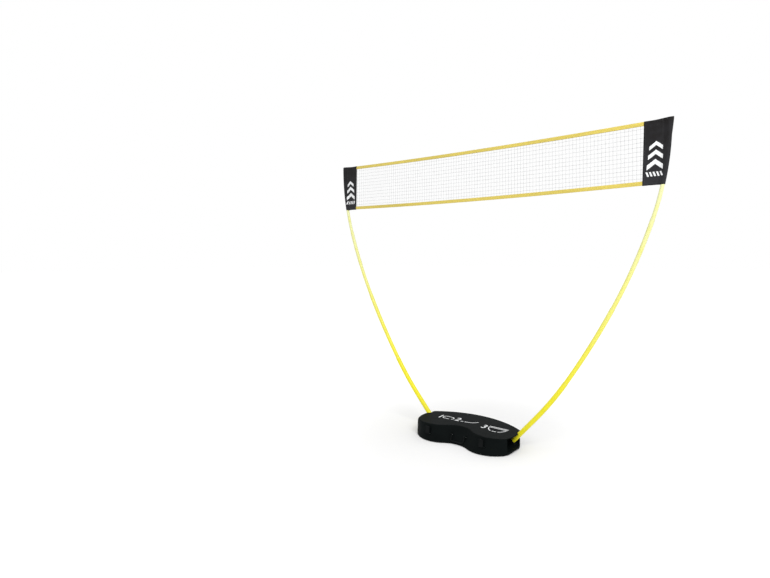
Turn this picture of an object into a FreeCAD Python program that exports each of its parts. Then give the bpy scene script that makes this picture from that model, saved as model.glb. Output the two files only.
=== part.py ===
import FreeCAD, Part
import math
import os
import Sketcher
from FreeCAD import Placement, Rotation, Vector

# Portable volleyball net. A moulded carrying case is the base, and a bowed pole stands in the bay at
# each of its ends. The two poles stretch a net strip between fabric end panels.
# X runs along the net, Y from the players at the front to the back, Z up. The origin is on the floor,
# under the middle of the part. Lengths are in millimetres and angles in degrees.

SIZES = {
    # Carrying case: outline
    "half_length": 396.0,
    "case_height": 117.5,
    "split_height": 91.0,
    "feet_proud": 3.0,
    "back_bulge": 200.5,
    "end_back": 88.0,
    "end_bulge": 30.0,
    "lobe_radius": 240.0,
    "lobe_x_low": 220.0,
    "lobe_x_top": 255.0,
    "lobe_reach_low": 209.0,
    "lobe_reach_top": 171.5,
    "waist_reach_low": 153.0,
    "waist_reach_top": 85.5,
    # Carrying case: walls and edges
    "case_wall": 3.0,
    "lid_plate": 3.5,
    "lid_edge": 5.0,
    "base_edge": 2.0,
    "rib_height": 14.0,
    "rib_x": 110.0,
    # Bays at the ends, where the poles stand
    "bay_depth": 56.0,
    "bay_front": 114.0,
    "bay_cheek": 20.5,
    "bay_floor": 24.0,
    "arch_front": 104.0,
    "arch_back": 40.0,
    "arch_rise": 12.0,
    "notch_gap": 6.0,
    # Lid hinge
    "hinge_x": 150.0,
    "hinge_offset": 2.0,
    "knuckle_radius": 6.0,
    "knuckle_width": 14.0,
    "hinge_pin_radius": 2.0,
    # Latches
    "latch_x": 240.0,
    "latch_height": 56.0,
    "latch_standoff": 5.7,
    "latch_width": 36.0,
    "latch_barrel": 4.5,
    "latch_plate": 2.5,
    "latch_hook": 3.5,
    "latch_overlap": 2.5,
    "latch_tab": 5.0,
    "keeper_height": 3.0,
    "keeper_rise": 2.9,
    "latch_release": 12.0,
    "latch_pin_radius": 1.5,
    # Carrying handle
    "handle_half": 56.0,
    "handle_height": 66.0,
    "handle_standoff": 22.0,
    "handle_drop": 46.0,
    "handle_bend": 14.0,
    "handle_radius": 5.0,
    "handle_eye": 6.0,
    "handle_eye_width": 12.0,
    "handle_pin_radius": 1.8,
    "ear_width": 7.0,
    # Feet
    "foot_radius": 12.0,
    "foot_front_inset": 37.0,
    "foot_side_inset": 34.0,
    "foot_side_y": 62.0,
    "foot_back_x": 150.0,
    "foot_back_inset": 50.5,
    # Poles
    "root_inset": 27.3,
    "root_rise": 26.3,
    "root_lean": 47.0,
    "root_straight": 250.0,
    "segment_length": 619.0,
    "turn_1": 8.0,
    "turn_2": 6.5,
    "turn_3": 9.4,
    "turn_4": 19.1,
    "root_radius": 17.5,
    "pole_wall": 1.4,
    "nest_gap": 0.3,
    "plug_depth": 60.0,
    "stop_length": 8.0,
    "stop_wall": 2.5,
    "top_plug_head": 3.0,
    "top_plug_stem": 26.0,
    # Pole brackets
    "bracket_width": 44.0,
    "bracket_plate": 5.0,
    "bracket_height": 56.0,
    "bracket_gap": 1.0,
    "bracket_toe": 2.0,
    "peg_length": 110.0,
    "peg_gap": 0.3,
    "screw_inset": 8.0,
    "screw_spacing": 28.0,
    "screw_radius": 2.2,
    "screw_head_radius": 4.2,
    "screw_head_height": 2.6,
    "screw_length": 14.0,
    # Net strip
    "panel_reach": 147.0,
    "net_rise": 1.0,
    "net_depth": 396.0,
    "tape_width": 26.0,
    "tape_thickness": 3.0,
    "net_sag": 13.0,
    "mesh_thickness": 2.0,
    "mesh_strand": 4.0,
    "mesh_columns": 50.0,
    "mesh_rows": 6.0,
    # End panels and the pockets sewn round the poles
    "panel_margin": 1.0,
    "panel_thickness": 2.4,
    "pocket_wall": 1.6,
    "pocket_gap": 0.5,
    "pocket_cap": 2.0,
    # Clearance between pieces that are built apart
    "fit_gap": 0.3,
    "turn_gap": 0.4,
    "pin_fit": 0.08,
}

doc = FreeCAD.newDocument("NetSet")
sheet = doc.addObject("Spreadsheet::Sheet", "Sizes")
for row, (name, number) in enumerate(SIZES.items(), start=1):
    sheet.set("A%d" % row, name)
    sheet.set("B%d" % row, str(number))
    sheet.setAlias("B%d" % row, name)
doc.recompute()


class Size:
    """A number together with the sheet expression that gives it."""

    def __init__(self, number, text):
        self.number = number
        self.text = text

    def __add__(self, other):
        other = as_size(other)
        return Size(self.number + other.number, "(%s + %s)" % (self.text, other.text))

    def __radd__(self, other):
        return as_size(other) + self

    def __sub__(self, other):
        other = as_size(other)
        return Size(self.number - other.number, "(%s - %s)" % (self.text, other.text))

    def __rsub__(self, other):
        return as_size(other) - self

    def __mul__(self, other):
        other = as_size(other)
        return Size(self.number * other.number, "(%s * %s)" % (self.text, other.text))

    def __rmul__(self, other):
        return as_size(other) * self

    def __truediv__(self, other):
        other = as_size(other)
        return Size(self.number / other.number, "(%s / %s)" % (self.text, other.text))

    def __rtruediv__(self, other):
        return as_size(other) / self

    def __neg__(self):
        return Size(-self.number, "(0 - %s)" % self.text)


def as_size(value):
    return value if isinstance(value, Size) else Size(float(value), "%.9f" % value)


def root_of(value):
    return Size(math.sqrt(value.number), "sqrt(%s)" % value.text)


def larger(first, second):
    return Size(max(first.number, second.number), "max(%s; %s)" % (first.text, second.text))


def sine(angle):
    return Size(math.sin(math.radians(angle.number)), "sin(%s)" % angle.text)


def cosine(angle):
    return Size(math.cos(math.radians(angle.number)), "cos(%s)" % angle.text)


class Sheet:
    """The sheet's cells as Size values, read by name."""

    def __getattr__(self, name):
        return Size(float(sheet.get(name)), "Sizes." + name)


S = Sheet()
ZERO = as_size(0.0)
DEGREES_PER_RADIAN = math.degrees(1.0)
# Shares of a size: the steep part of the lid's rounded edge, and the heads of pins and screws
STEEP_SHARE = 0.3
PIN_HEAD_WIDTH, PIN_HEAD_LENGTH = 1.7, 0.6
SCREW_HEAD_TAPER = 0.7
SIDES = {"right": 1, "left": -1}


def new_body(label):
    body = doc.addObject("PartDesign::Body", label)
    body.Label = label
    return body


def new_sketch(body, name, role, offset=None):
    """A sketch on one of the body's own origin planes, moved along that plane's normal."""
    sketch = body.newObject("Sketcher::SketchObject", name)
    plane = next(f for f in body.Origin.OriginFeatures if f.Role == role)
    sketch.AttachmentSupport = [(plane, "")]
    sketch.MapMode = "FlatFace"
    if offset is not None:
        sketch.AttachmentOffset = Placement(Vector(0, 0, offset.number), Rotation())
        sketch.setExpression("AttachmentOffset.Base.z", offset.text)
    return sketch


def fix(sketch, kind, *where):
    """Adds a dimension whose value, the last argument, is bound to the sheet."""
    *where, size = where
    index = sketch.addConstraint(Sketcher.Constraint(kind, *where, size.number))
    sketch.setExpression("Constraints[%d]" % index, size.text)


def add_line(sketch, start, end):
    ends = [Vector(x.number, y.number, 0) for x, y in (start, end)]
    return sketch.addGeometry(Part.LineSegment(*ends), False)


def add_polygon(sketch, points):
    first = sketch.GeometryCount
    flat = [Vector(x.number, y.number, 0) for x, y in points]
    count = len(flat)
    for i in range(count):
        sketch.addGeometry(Part.LineSegment(flat[i], flat[(i + 1) % count]), False)
    for i in range(count):
        follower = first + (i + 1) % count
        sketch.addConstraint(Sketcher.Constraint("Coincident", first + i, 2, follower, 1))
    for i, (x, y) in enumerate(points):
        fix(sketch, "DistanceX", -1, 1, first + i, 1, x)
        fix(sketch, "DistanceY", -1, 1, first + i, 1, y)


def add_rectangle(sketch, x_low, x_high, y_low, y_high):
    add_polygon(sketch, [(x_low, y_low), (x_high, y_low), (x_high, y_high), (x_low, y_high)])


def add_circle(sketch, x, y, radius):
    centre = Vector(x.number, y.number, 0)
    index = sketch.addGeometry(Part.Circle(centre, Vector(0, 0, 1), radius.number), False)
    fix(sketch, "DistanceX", -1, 1, index, 3, x)
    fix(sketch, "DistanceY", -1, 1, index, 3, y)
    fix(sketch, "Radius", index, radius)


def add_arc(sketch, centre, radius, start, end):
    """An arc drawn counter-clockwise, from one angle in radians to another."""
    circle = Part.Circle(Vector(centre[0].number, centre[1].number, 0), Vector(0, 0, 1), radius.number)
    return sketch.addGeometry(Part.ArcOfCircle(circle, start, end), False)


def extrude(body, kind, name, sketch, length, reverse=False, symmetric=False):
    feature = body.newObject("PartDesign::" + kind, name)
    feature.Profile = sketch
    feature.Length = length.number
    feature.setExpression("Length", length.text)
    feature.Reversed = reverse
    if symmetric:
        feature.SideType = "Symmetric"
    sketch.Visibility = False
    return feature


def pad(body, name, sketch, length, **options):
    return extrude(body, "Pad", name, sketch, length, **options)


def cut(body, name, sketch, length, **options):
    """A pocket, which has to take something away."""
    doc.recompute()
    before = body.Shape.Volume
    feature = extrude(body, "Pocket", name, sketch, length, **options)
    doc.recompute()
    if not body.Shape.Volume < before:
        raise RuntimeError("%s cuts nothing" % name)
    return feature


def loft(body, kind, name, outlines):
    feature = body.newObject("PartDesign::" + kind, name)
    feature.Profile = outlines[0]
    feature.Sections = outlines[1:]
    feature.Ruled = True
    return feature


def revolve(body, name, sketch, angle, reverse):
    """Turns a sketch about its own construction line."""
    feature = body.newObject("PartDesign::Revolution", name)
    feature.Profile = sketch
    feature.ReferenceAxis = (sketch, ["Axis0"])
    feature.Angle = angle.number
    feature.setExpression("Angle", angle.text)
    feature.Reversed = reverse
    return feature


def solid(kind, name, place, **sizes):
    """A Part primitive with its sizes bound to the sheet."""
    piece = doc.addObject("Part::" + kind, name)
    for key, size in sizes.items():
        setattr(piece, key, size.number)
        piece.setExpression(key, size.text)
    piece.Placement = place
    return piece


def group(label, members):
    """Like pieces that share one node."""
    compound = doc.addObject("Part::Compound", label)
    compound.Label = label
    compound.Links = members
    return compound


def along(x=0.0, y=0.0, z=0.0, axis=Vector(0, 0, 1)):
    """A place whose own Z axis points along the given axis."""
    return Placement(Vector(x, y, z), Rotation(Vector(0, 0, 1), axis))


def on_side(side, place=Placement()):
    """Moves a piece drawn for the right-hand pole to either side of the part."""
    turn = Rotation(Vector(0, 0, 1), 0 if SIDES[side] > 0 else 180)
    return Placement(Vector(0, POLE_Y.number, 0), turn) * place


# Figures of the case that several pieces share

BAY_X = S.half_length - S.bay_depth
BAY_BACK = S.end_back - S.bay_cheek
HINGE_Y = S.back_bulge + S.hinge_offset
CASE_RISE = S.case_height - S.feet_proud
POLE_Y = BAY_BACK - S.bracket_gap - S.bracket_width / 2
ROOT_X = BAY_X + S.root_inset
ROOT_Z = S.bay_floor + S.root_rise
BRACKET_TOP = S.bay_floor + S.bracket_height
SCREW_Z = BRACKET_TOP - S.screw_inset


def leaning(low, top, height):
    """A figure of the case outline at a height: the walls lean from the floor to the top."""
    return low + (top - low) * ((height - S.feet_proud) / CASE_RISE)


def slope(low, top):
    """Sine and cosine of a wall's lean from upright."""
    tangent = (low - top) / CASE_RISE
    steep = 1 / root_of(1 + tangent * tangent)
    return tangent * steep, steep


LOBE_SINE, LOBE_COSINE = slope(S.lobe_reach_low, S.lobe_reach_top)
WAIST_SINE, WAIST_COSINE = slope(S.waist_reach_low, S.waist_reach_top)
LATCH_SIDE = S.latch_x - leaning(S.lobe_x_low, S.lobe_x_top, S.latch_height)
LATCH_SAG = S.lobe_radius - root_of(S.lobe_radius * S.lobe_radius - LATCH_SIDE * LATCH_SIDE)
LATCH_WALL = leaning(S.lobe_reach_low, S.lobe_reach_top, S.latch_height) - LATCH_SAG
LATCH_Y = -(LATCH_WALL + S.latch_standoff / LOBE_COSINE)
KEEPER_OUT = S.latch_barrel - S.latch_plate - S.turn_gap
KEEPER_UP = S.split_height + S.keeper_rise - S.latch_height - LOBE_SINE * KEEPER_OUT
KEEPER_LOW = KEEPER_UP / LOBE_COSINE
LATCH_REACH = KEEPER_LOW + S.keeper_height + S.fit_gap
HANDLE_WALL = leaning(S.waist_reach_low, S.waist_reach_top, S.handle_height)
HANDLE_Y = -(HANDLE_WALL + S.handle_standoff)


def front_arcs(height):
    """The lobes' centre, and the centre and radius of the waist's arc, which is tangent to both."""
    lobe_x = leaning(S.lobe_x_low, S.lobe_x_top, height)
    lobe_y = S.lobe_radius - leaning(S.lobe_reach_low, S.lobe_reach_top, height)
    waist_reach = leaning(S.waist_reach_low, S.waist_reach_top, height)
    drop = lobe_y + waist_reach
    spread = lobe_x * lobe_x + drop * drop - S.lobe_radius * S.lobe_radius
    waist_radius = spread / ((S.lobe_radius - drop) * 2)
    return lobe_x, lobe_y, -(waist_reach + waist_radius), waist_radius


def case_outline(body, name, height, inset, end_x, rounded=True):
    """The case seen from above: a bulging back, rounded or straight ends, two lobes and a waist."""
    sketch = new_sketch(body, name, "XY_Plane", height)
    lobe_x, lobe_y, waist_y, waist_radius = front_arcs(height)
    bulge = S.back_bulge - S.end_back
    back_radius = (S.half_length * S.half_length + bulge * bulge) / (bulge * 2)
    back_y = S.back_bulge - back_radius
    back_r, lobe_r, waist_r = back_radius - inset, S.lobe_radius - inset, waist_radius + inset

    corner = math.acos(end_x.number / back_r.number)
    front = math.acos((end_x.number - lobe_x.number) / lobe_r.number)
    meet = math.atan2(lobe_y.number - waist_y.number, lobe_x.number)
    high_y = back_y + root_of(back_r * back_r - end_x * end_x)
    low_y = lobe_y - root_of(lobe_r * lobe_r - (end_x - lobe_x) * (end_x - lobe_x))
    half_y, middle_y = (high_y - low_y) / 2, (high_y + low_y) / 2
    end_r = (half_y * half_y + S.end_bulge * S.end_bulge) / (S.end_bulge * 2)
    centre_x = end_x + S.end_bulge - end_r
    swing = math.asin(half_y.number / end_r.number)
    back = add_arc(sketch, (ZERO, back_y), back_r, corner, math.pi - corner)
    if rounded:
        left = add_arc(sketch, (-centre_x, middle_y), end_r, math.pi - swing, math.pi + swing)
    else:
        left = add_line(sketch, (-end_x, high_y), (-end_x, low_y))
    left_lobe = add_arc(sketch, (-lobe_x, lobe_y), lobe_r, math.pi + front, 2 * math.pi - meet)
    waist = add_arc(sketch, (ZERO, waist_y), waist_r, meet, math.pi - meet)
    right_lobe = add_arc(sketch, (lobe_x, lobe_y), lobe_r, math.pi + meet, 2 * math.pi - front)
    if rounded:
        right = add_arc(sketch, (centre_x, middle_y), end_r, -swing, swing)
    else:
        right = add_line(sketch, (end_x, low_y), (end_x, high_y))

    joins = [
        ("Coincident", back, 2, left, 1),
        ("Coincident", left, 2, left_lobe, 1),
        ("Tangent", left_lobe, 2, waist, 2),
        ("Tangent", waist, 1, right_lobe, 1),
        ("Coincident", right_lobe, 2, right, 1),
        ("Coincident", right, 2, back, 1),
        ("PointOnObject", back, 3, -2),
    ]
    if not rounded:
        joins += [("Vertical", left), ("Vertical", right)]
    for join in joins:
        sketch.addConstraint(Sketcher.Constraint(*join))
    if rounded:
        for end, sides in ((right, (-1, 1, right, 3)), (left, (left, 3, -1, 1))):
            fix(sketch, "DistanceX", *sides, centre_x)
            fix(sketch, "DistanceY", -1, 1, end, 3, middle_y)
            fix(sketch, "Radius", end, end_r)
    else:
        fix(sketch, "DistanceX", -1, 1, right, 1, end_x)
        fix(sketch, "DistanceX", left, 1, -1, 1, end_x)
    fix(sketch, "DistanceY", back, 3, -1, 1, -back_y)
    fix(sketch, "Radius", back, back_r)
    fix(sketch, "DistanceX", -1, 1, right_lobe, 3, lobe_x)
    fix(sketch, "DistanceX", left_lobe, 3, -1, 1, lobe_x)
    for lobe in (left_lobe, right_lobe):
        fix(sketch, "DistanceY", -1, 1, lobe, 3, lobe_y)
        fix(sketch, "Radius", lobe, lobe_r)
    fix(sketch, "DistanceY", waist, 3, -1, 1, -waist_y)
    sketch.Visibility = False
    return sketch


def case_shell(body, stages):
    """The outer form of one half of the case, from its heights and how far each is set in."""
    outlines = []
    for i, (height, inset) in enumerate(stages):
        outlines.append(case_outline(body, "outer_%d" % i, height, inset, S.half_length - inset))
    loft(body, "AdditiveLoft", "outer_form", outlines)


def case_cavity(body, low, high):
    """The room inside one half of the case, between the walls of the two bays."""
    outlines = []
    end_x = BAY_X - S.case_wall
    for i, height in enumerate((low, high)):
        name = "inner_%d" % i
        outlines.append(case_outline(body, name, height, S.case_wall, end_x, rounded=False))
    loft(body, "SubtractiveLoft", "cavity", outlines)


def add_lug(body, name, start, width, outline, centre, radius):
    """A lug across the hinge line: a web into the wall and a round nose, set before the cavity."""
    for shape in ("web", "nose"):
        sketch = new_sketch(body, "%s_%s" % (name, shape), "YZ_Plane", start)
        if shape == "web":
            add_rectangle(sketch, *outline)
        else:
            add_circle(sketch, *centre, radius)
        pad(body, "%s_%s_pad" % (name, shape), sketch, width)


def drill(body, name, start, length, centre, radius):
    sketch = new_sketch(body, name, "YZ_Plane", start)
    add_circle(sketch, *centre, radius)
    cut(body, name + "_hole", sketch, length, reverse=True)


def hinge_lugs(body, starts, low, high):
    web = (ZERO, HINGE_Y, low, high)
    centre = (HINGE_Y, S.split_height)
    for i, start in enumerate(starts):
        add_lug(body, "knuckle_%d" % i, start, S.knuckle_width, web, centre, S.knuckle_radius)


def hinge_holes(body):
    radius = S.hinge_pin_radius + S.pin_fit
    for side, sign in SIDES.items():
        start = S.hinge_x * sign - S.knuckle_width * 2
        drill(body, "hinge_bore_" + side, start, S.knuckle_width * 4, (HINGE_Y, S.split_height), radius)


def latch_point(up, out):
    """A point in the latch's own plane: up along the leaning wall and out from it."""
    y = LATCH_Y + LOBE_SINE * up - LOBE_COSINE * out
    z = S.latch_height + LOBE_COSINE * up + LOBE_SINE * out
    return y, z


def build_case_base():
    body = new_body("case_base")
    floor = S.feet_proud
    stages = [(floor, S.base_edge), (floor + S.base_edge, ZERO), (S.split_height, ZERO)]
    case_shell(body, stages)
    knuckle_starts = []
    for sign in SIDES.values():
        middle = S.hinge_x * sign
        knuckle_starts.append(middle - S.knuckle_width * 1.5 - S.turn_gap)
        knuckle_starts.append(middle + S.knuckle_width * 0.5 + S.turn_gap)
    hinge_lugs(body, knuckle_starts, S.split_height - S.knuckle_radius, S.split_height)
    for side, sign in SIDES.items():
        middle = S.latch_x * sign
        half = S.latch_width / 2 + S.turn_gap
        for i, start in enumerate((middle - half - S.ear_width, middle + half)):
            low, high = S.latch_height - S.latch_barrel, S.latch_height + S.latch_barrel
            web = (LATCH_Y, ZERO, low, high)
            name = "latch_ear_%s_%d" % (side, i)
            add_lug(body, name, start, S.ear_width, web, (LATCH_Y, S.latch_height), S.latch_barrel)
        outer = S.handle_half + S.handle_eye_width / 2 + S.turn_gap
        start = outer if sign > 0 else -(outer + S.ear_width)
        low, high = S.handle_height - S.handle_eye, S.handle_height + S.handle_eye
        web = (HANDLE_Y, ZERO, low, high)
        centre = (HANDLE_Y, S.handle_height)
        add_lug(body, "handle_ear_" + side, start, S.ear_width, web, centre, S.handle_eye)
    floor = floor + S.case_wall
    case_cavity(body, floor, S.split_height)
    ribs = new_sketch(body, "ribs", "XY_Plane", floor)
    half = S.case_wall / 2
    for x in (-S.rib_x, S.rib_x):
        add_rectangle(ribs, x - half, x + half, -(S.waist_reach_low - S.case_wall * 2), S.end_back)
    pad(body, "rib_pads", ribs, S.rib_height)
    bays = new_sketch(body, "bays", "XY_Plane", S.bay_floor)
    beyond = S.half_length + S.bay_depth
    add_rectangle(bays, BAY_X, beyond, -S.bay_front, BAY_BACK)
    add_rectangle(bays, -beyond, -BAY_X, -S.bay_front, BAY_BACK)
    cut(body, "bay_cuts", bays, S.case_height, reverse=True)
    for side, sign in SIDES.items():
        cut_arch(body, side, sign)
        screw_start = BAY_X * sign - S.case_wall * 2
        for i, y in enumerate((POLE_Y - S.screw_spacing / 2, POLE_Y + S.screw_spacing / 2)):
            hole = S.screw_radius + S.fit_gap
            drill(body, "screw_%s_%d" % (side, i), screw_start, S.case_wall * 4, (y, SCREW_Z), hole)
        for i, start in enumerate((S.latch_x * sign - S.latch_width, S.latch_x * sign)):
            radius = S.latch_pin_radius + S.pin_fit
            centre = (LATCH_Y, S.latch_height)
            drill(body, "latch_bore_%s_%d" % (side, i), start, S.latch_width, centre, radius)
        start = S.handle_half * sign - S.ear_width * 2
        centre = (HANDLE_Y, S.handle_height)
        drill(body, "handle_bore_" + side, start, S.ear_width * 4, centre, S.handle_pin_radius + S.pin_fit)
    hinge_holes(body)


def cut_arch(body, side, sign):
    """The low arch under an end of the case."""
    sketch = new_sketch(body, "arch_" + side, "YZ_Plane", BAY_X * sign)
    half = (S.arch_front + S.arch_back) / 2
    middle = (S.arch_back - S.arch_front) / 2
    radius = (half * half + S.arch_rise * S.arch_rise) / (S.arch_rise * 2)
    centre_z = S.feet_proud + S.arch_rise - radius
    corner = math.acos(half.number / radius.number)
    base_z = S.feet_proud
    start = Vector(-S.arch_front.number, base_z.number, 0)
    end = Vector(S.arch_back.number, base_z.number, 0)
    line = sketch.addGeometry(Part.LineSegment(start, end), False)
    arc = add_arc(sketch, (middle, centre_z), radius, corner, math.pi - corner)
    sketch.addConstraint(Sketcher.Constraint("Coincident", line, 2, arc, 1))
    sketch.addConstraint(Sketcher.Constraint("Coincident", arc, 2, line, 1))
    fix(sketch, "DistanceX", -1, 1, line, 1, -S.arch_front)
    fix(sketch, "DistanceX", -1, 1, line, 2, S.arch_back)
    fix(sketch, "DistanceY", -1, 1, line, 1, base_z)
    fix(sketch, "DistanceY", -1, 1, line, 2, base_z)
    fix(sketch, "Radius", arc, radius)
    cut(body, "arch_cut_" + side, sketch, S.bay_depth * 2, reverse=sign > 0)


def build_case_lid():
    body = new_body("case_lid")
    top = S.case_height
    steep = S.lid_edge * STEEP_SHARE
    stages = [(S.split_height, ZERO), (top - S.lid_edge, ZERO), (top - steep, steep), (top, S.lid_edge)]
    case_shell(body, stages)
    starts = [S.hinge_x * sign - S.knuckle_width / 2 for sign in SIDES.values()]
    hinge_lugs(body, starts, S.split_height, S.split_height + S.knuckle_radius)
    for side, sign in SIDES.items():
        keeper = new_sketch(body, "keeper_" + side, "YZ_Plane", S.latch_x * sign - S.latch_width / 2)
        high = KEEPER_LOW + S.keeper_height
        low_edge = latch_point(KEEPER_LOW, KEEPER_OUT)
        top_edge = latch_point(high, KEEPER_OUT)
        top_root = latch_point(high, -S.latch_standoff)
        add_polygon(keeper, [low_edge, top_edge, top_root, (ZERO, top_root[1]), (ZERO, low_edge[1])])
        pad(body, "keeper_pad_" + side, keeper, S.latch_width)
    ceiling = S.case_height - S.lid_plate
    case_cavity(body, S.split_height, ceiling)
    bays = new_sketch(body, "bays", "XY_Plane", S.split_height)
    beyond = S.half_length + S.bay_depth
    add_rectangle(bays, BAY_X, beyond, -S.bay_front, BAY_BACK)
    add_rectangle(bays, -beyond, -BAY_X, -S.bay_front, BAY_BACK)
    cut(body, "bay_cuts", bays, ceiling - S.split_height, reverse=True)
    notches = new_sketch(body, "notches", "XY_Plane", S.split_height)
    notch_x = ROOT_X + (ceiling - ROOT_Z) * cosine(S.root_lean) / sine(S.root_lean)
    notch_radius = larger(S.root_radius / sine(S.root_lean) + S.notch_gap, notch_x - S.half_length)
    add_circle(notches, notch_x, POLE_Y, notch_radius)
    add_circle(notches, -notch_x, POLE_Y, notch_radius)
    cut(body, "notch_cuts", notches, S.case_height, reverse=True)
    hinge_holes(body)


def build_pins():
    """Hinge, latch and handle pins, each a headed steel rod through its lugs."""
    rods = []
    for side, sign in SIDES.items():
        length = S.knuckle_width * 3 + S.turn_gap * 4
        middle = S.hinge_x.number * sign
        rods.append(rod("hinge_" + side, middle, HINGE_Y, S.split_height, S.hinge_pin_radius, length))
    group("lid_hinge_pins", rods)
    rods = []
    for side, sign in SIDES.items():
        length = S.latch_width + S.ear_width * 2 + S.turn_gap * 4
        middle = S.latch_x.number * sign
        rods.append(rod("latch_" + side, middle, LATCH_Y, S.latch_height, S.latch_pin_radius, length))
    group("latch_pins", rods)
    rods = []
    for side, sign in SIDES.items():
        length = S.handle_eye_width + S.ear_width + S.turn_gap * 3
        middle = (S.handle_half.number + S.ear_width.number / 2) * sign
        rods.append(rod("handle_" + side, middle, HANDLE_Y, S.handle_height, S.handle_pin_radius, length))
    group("handle_pins", rods)


def rod(name, middle, y, z, radius, length):
    """A pin along X with a low head at each end."""
    start = middle - length.number / 2
    head_length = radius * PIN_HEAD_LENGTH
    stretches = {
        "shank": (start, radius, length),
        "low_head": (start - head_length.number, radius * PIN_HEAD_WIDTH, head_length),
        "high_head": (start + length.number, radius * PIN_HEAD_WIDTH, head_length),
    }
    pin = doc.addObject("Part::MultiFuse", name + "_pin")
    shapes = []
    for part, (x, part_radius, part_length) in stretches.items():
        place = along(x, y.number, z.number, Vector(1, 0, 0))
        label = "%s_%s" % (name, part)
        shapes.append(solid("Cylinder", label, place, Radius=part_radius, Height=part_length))
    pin.Shapes = shapes
    return pin


def build_latches():
    for side, sign in SIDES.items():
        body = new_body("latch_" + side)
        plate = new_sketch(body, "lever", "YZ_Plane")
        face, back = -S.latch_barrel, -(S.latch_barrel - S.latch_plate)
        hook_top = LATCH_REACH + S.latch_hook
        tip = hook_top + S.latch_tab
        hook_in = back + S.turn_gap + S.latch_overlap
        corners = [
            (face, ZERO),
            (back, ZERO),
            (back, LATCH_REACH),
            (hook_in, LATCH_REACH),
            (hook_in, hook_top),
            (back, hook_top),
            (back - S.latch_plate, tip),
            (face - S.latch_plate, tip),
            (face, hook_top),
        ]
        add_polygon(plate, corners)
        pad(body, "lever_pad", plate, S.latch_width, symmetric=True)
        barrel = new_sketch(body, "barrel", "YZ_Plane")
        add_circle(barrel, ZERO, ZERO, S.latch_barrel)
        pad(body, "barrel_pad", barrel, S.latch_width, symmetric=True)
        bore = new_sketch(body, "bore", "YZ_Plane")
        add_circle(bore, ZERO, ZERO, S.latch_pin_radius + S.pin_fit)
        cut(body, "bore_cut", bore, S.latch_width * 2, symmetric=True)
        lean = S.latch_release.number - math.degrees(math.asin(LOBE_SINE.number))
        centre = Vector(S.latch_x.number * sign, LATCH_Y.number, S.latch_height.number)
        body.Placement = Placement(centre, Rotation(Vector(1, 0, 0), lean))


def handle_lean():
    """How far the hanging bail leans out, in degrees, where its bar comes to rest at the waist."""
    bar_height = S.handle_height - S.handle_drop
    waist_y, waist_radius = (figure.number for figure in front_arcs(bar_height)[2:])
    wall = waist_y + math.sqrt(waist_radius ** 2 - (S.handle_half - S.handle_radius).number ** 2)
    clear = (S.handle_radius + S.turn_gap * 2).number / WAIST_COSINE.number
    return math.degrees(math.asin((HANDLE_Y.number - wall + clear) / S.handle_drop.number))


def build_handle():
    """A bail on two pins in the waist, whose bar hangs by its weight against the wall."""
    body = new_body("carry_handle")
    path = new_sketch(body, "bail_path", "XZ_Plane")
    x, drop, bend = S.handle_half, S.handle_drop, S.handle_bend
    corner_x, corner_z = x - bend, -(drop - bend)
    right = add_line(path, (x, ZERO), (x, corner_z))
    right_bend = add_arc(path, (corner_x, corner_z), bend, 1.5 * math.pi, 2 * math.pi)
    bar = add_line(path, (corner_x, -drop), (-corner_x, -drop))
    left_bend = add_arc(path, (-corner_x, corner_z), bend, math.pi, 1.5 * math.pi)
    left = add_line(path, (-x, corner_z), (-x, ZERO))
    joins = [
        ("Tangent", right, 2, right_bend, 2),
        ("Tangent", right_bend, 1, bar, 1),
        ("Tangent", bar, 2, left_bend, 2),
        ("Tangent", left_bend, 1, left, 1),
        ("Vertical", right),
        ("Vertical", left),
        ("Horizontal", bar),
        ("PointOnObject", right, 1, -1),
        ("PointOnObject", left, 2, -1),
    ]
    for join in joins:
        path.addConstraint(Sketcher.Constraint(*join))
    fix(path, "DistanceX", -1, 1, right, 1, x)
    fix(path, "DistanceX", left, 2, -1, 1, x)
    fix(path, "DistanceY", bar, 1, -1, 1, drop)
    fix(path, "Radius", right_bend, bend)
    section = new_sketch(body, "bail_section", "XY_Plane")
    add_circle(section, x, ZERO, S.handle_radius)
    bail = body.newObject("PartDesign::AdditivePipe", "bail")
    bail.Profile = section
    bail.Spine = path
    bore = S.handle_pin_radius + S.pin_fit
    for side, sign in SIDES.items():
        start = S.handle_half * sign - S.handle_eye_width / 2
        eye = new_sketch(body, "eye_" + side, "YZ_Plane", start)
        add_circle(eye, ZERO, ZERO, S.handle_eye)
        pad(body, "eye_pad_" + side, eye, S.handle_eye_width)
        drill(body, "eye_bore_" + side, start, S.handle_eye_width, (ZERO, ZERO), bore)
    hang = Rotation(Vector(1, 0, 0), -handle_lean())
    body.Placement = Placement(Vector(0, HANDLE_Y.number, S.handle_height.number), hang)


def build_feet():
    spots = [
        (S.lobe_x_low, S.foot_front_inset - S.lobe_reach_low),
        (BAY_X - S.foot_side_inset, S.foot_side_y),
        (S.foot_back_x, S.back_bulge - S.foot_back_inset),
    ]
    feet = []
    for sign in SIDES.values():
        for x, y in spots:
            place = along(x.number * sign, y.number)
            name = "foot_%d" % len(feet)
            feet.append(solid("Cylinder", name, place, Radius=S.foot_radius, Height=S.feet_proud))
    group("rubber_feet", feet)


# Figures of the poles that several pieces share

OUTER = [S.root_radius]
for _ in range(3):
    OUTER.append(OUTER[-1] - S.pole_wall - S.nest_gap)
TURNS = [S.turn_1, S.turn_2, S.turn_3, S.turn_4]
ARC_LENGTHS = [S.segment_length - S.root_straight] + [S.segment_length] * 3
BENDS = [length * DEGREES_PER_RADIAN / turn for length, turn in zip(ARC_LENGTHS, TURNS)]


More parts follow.
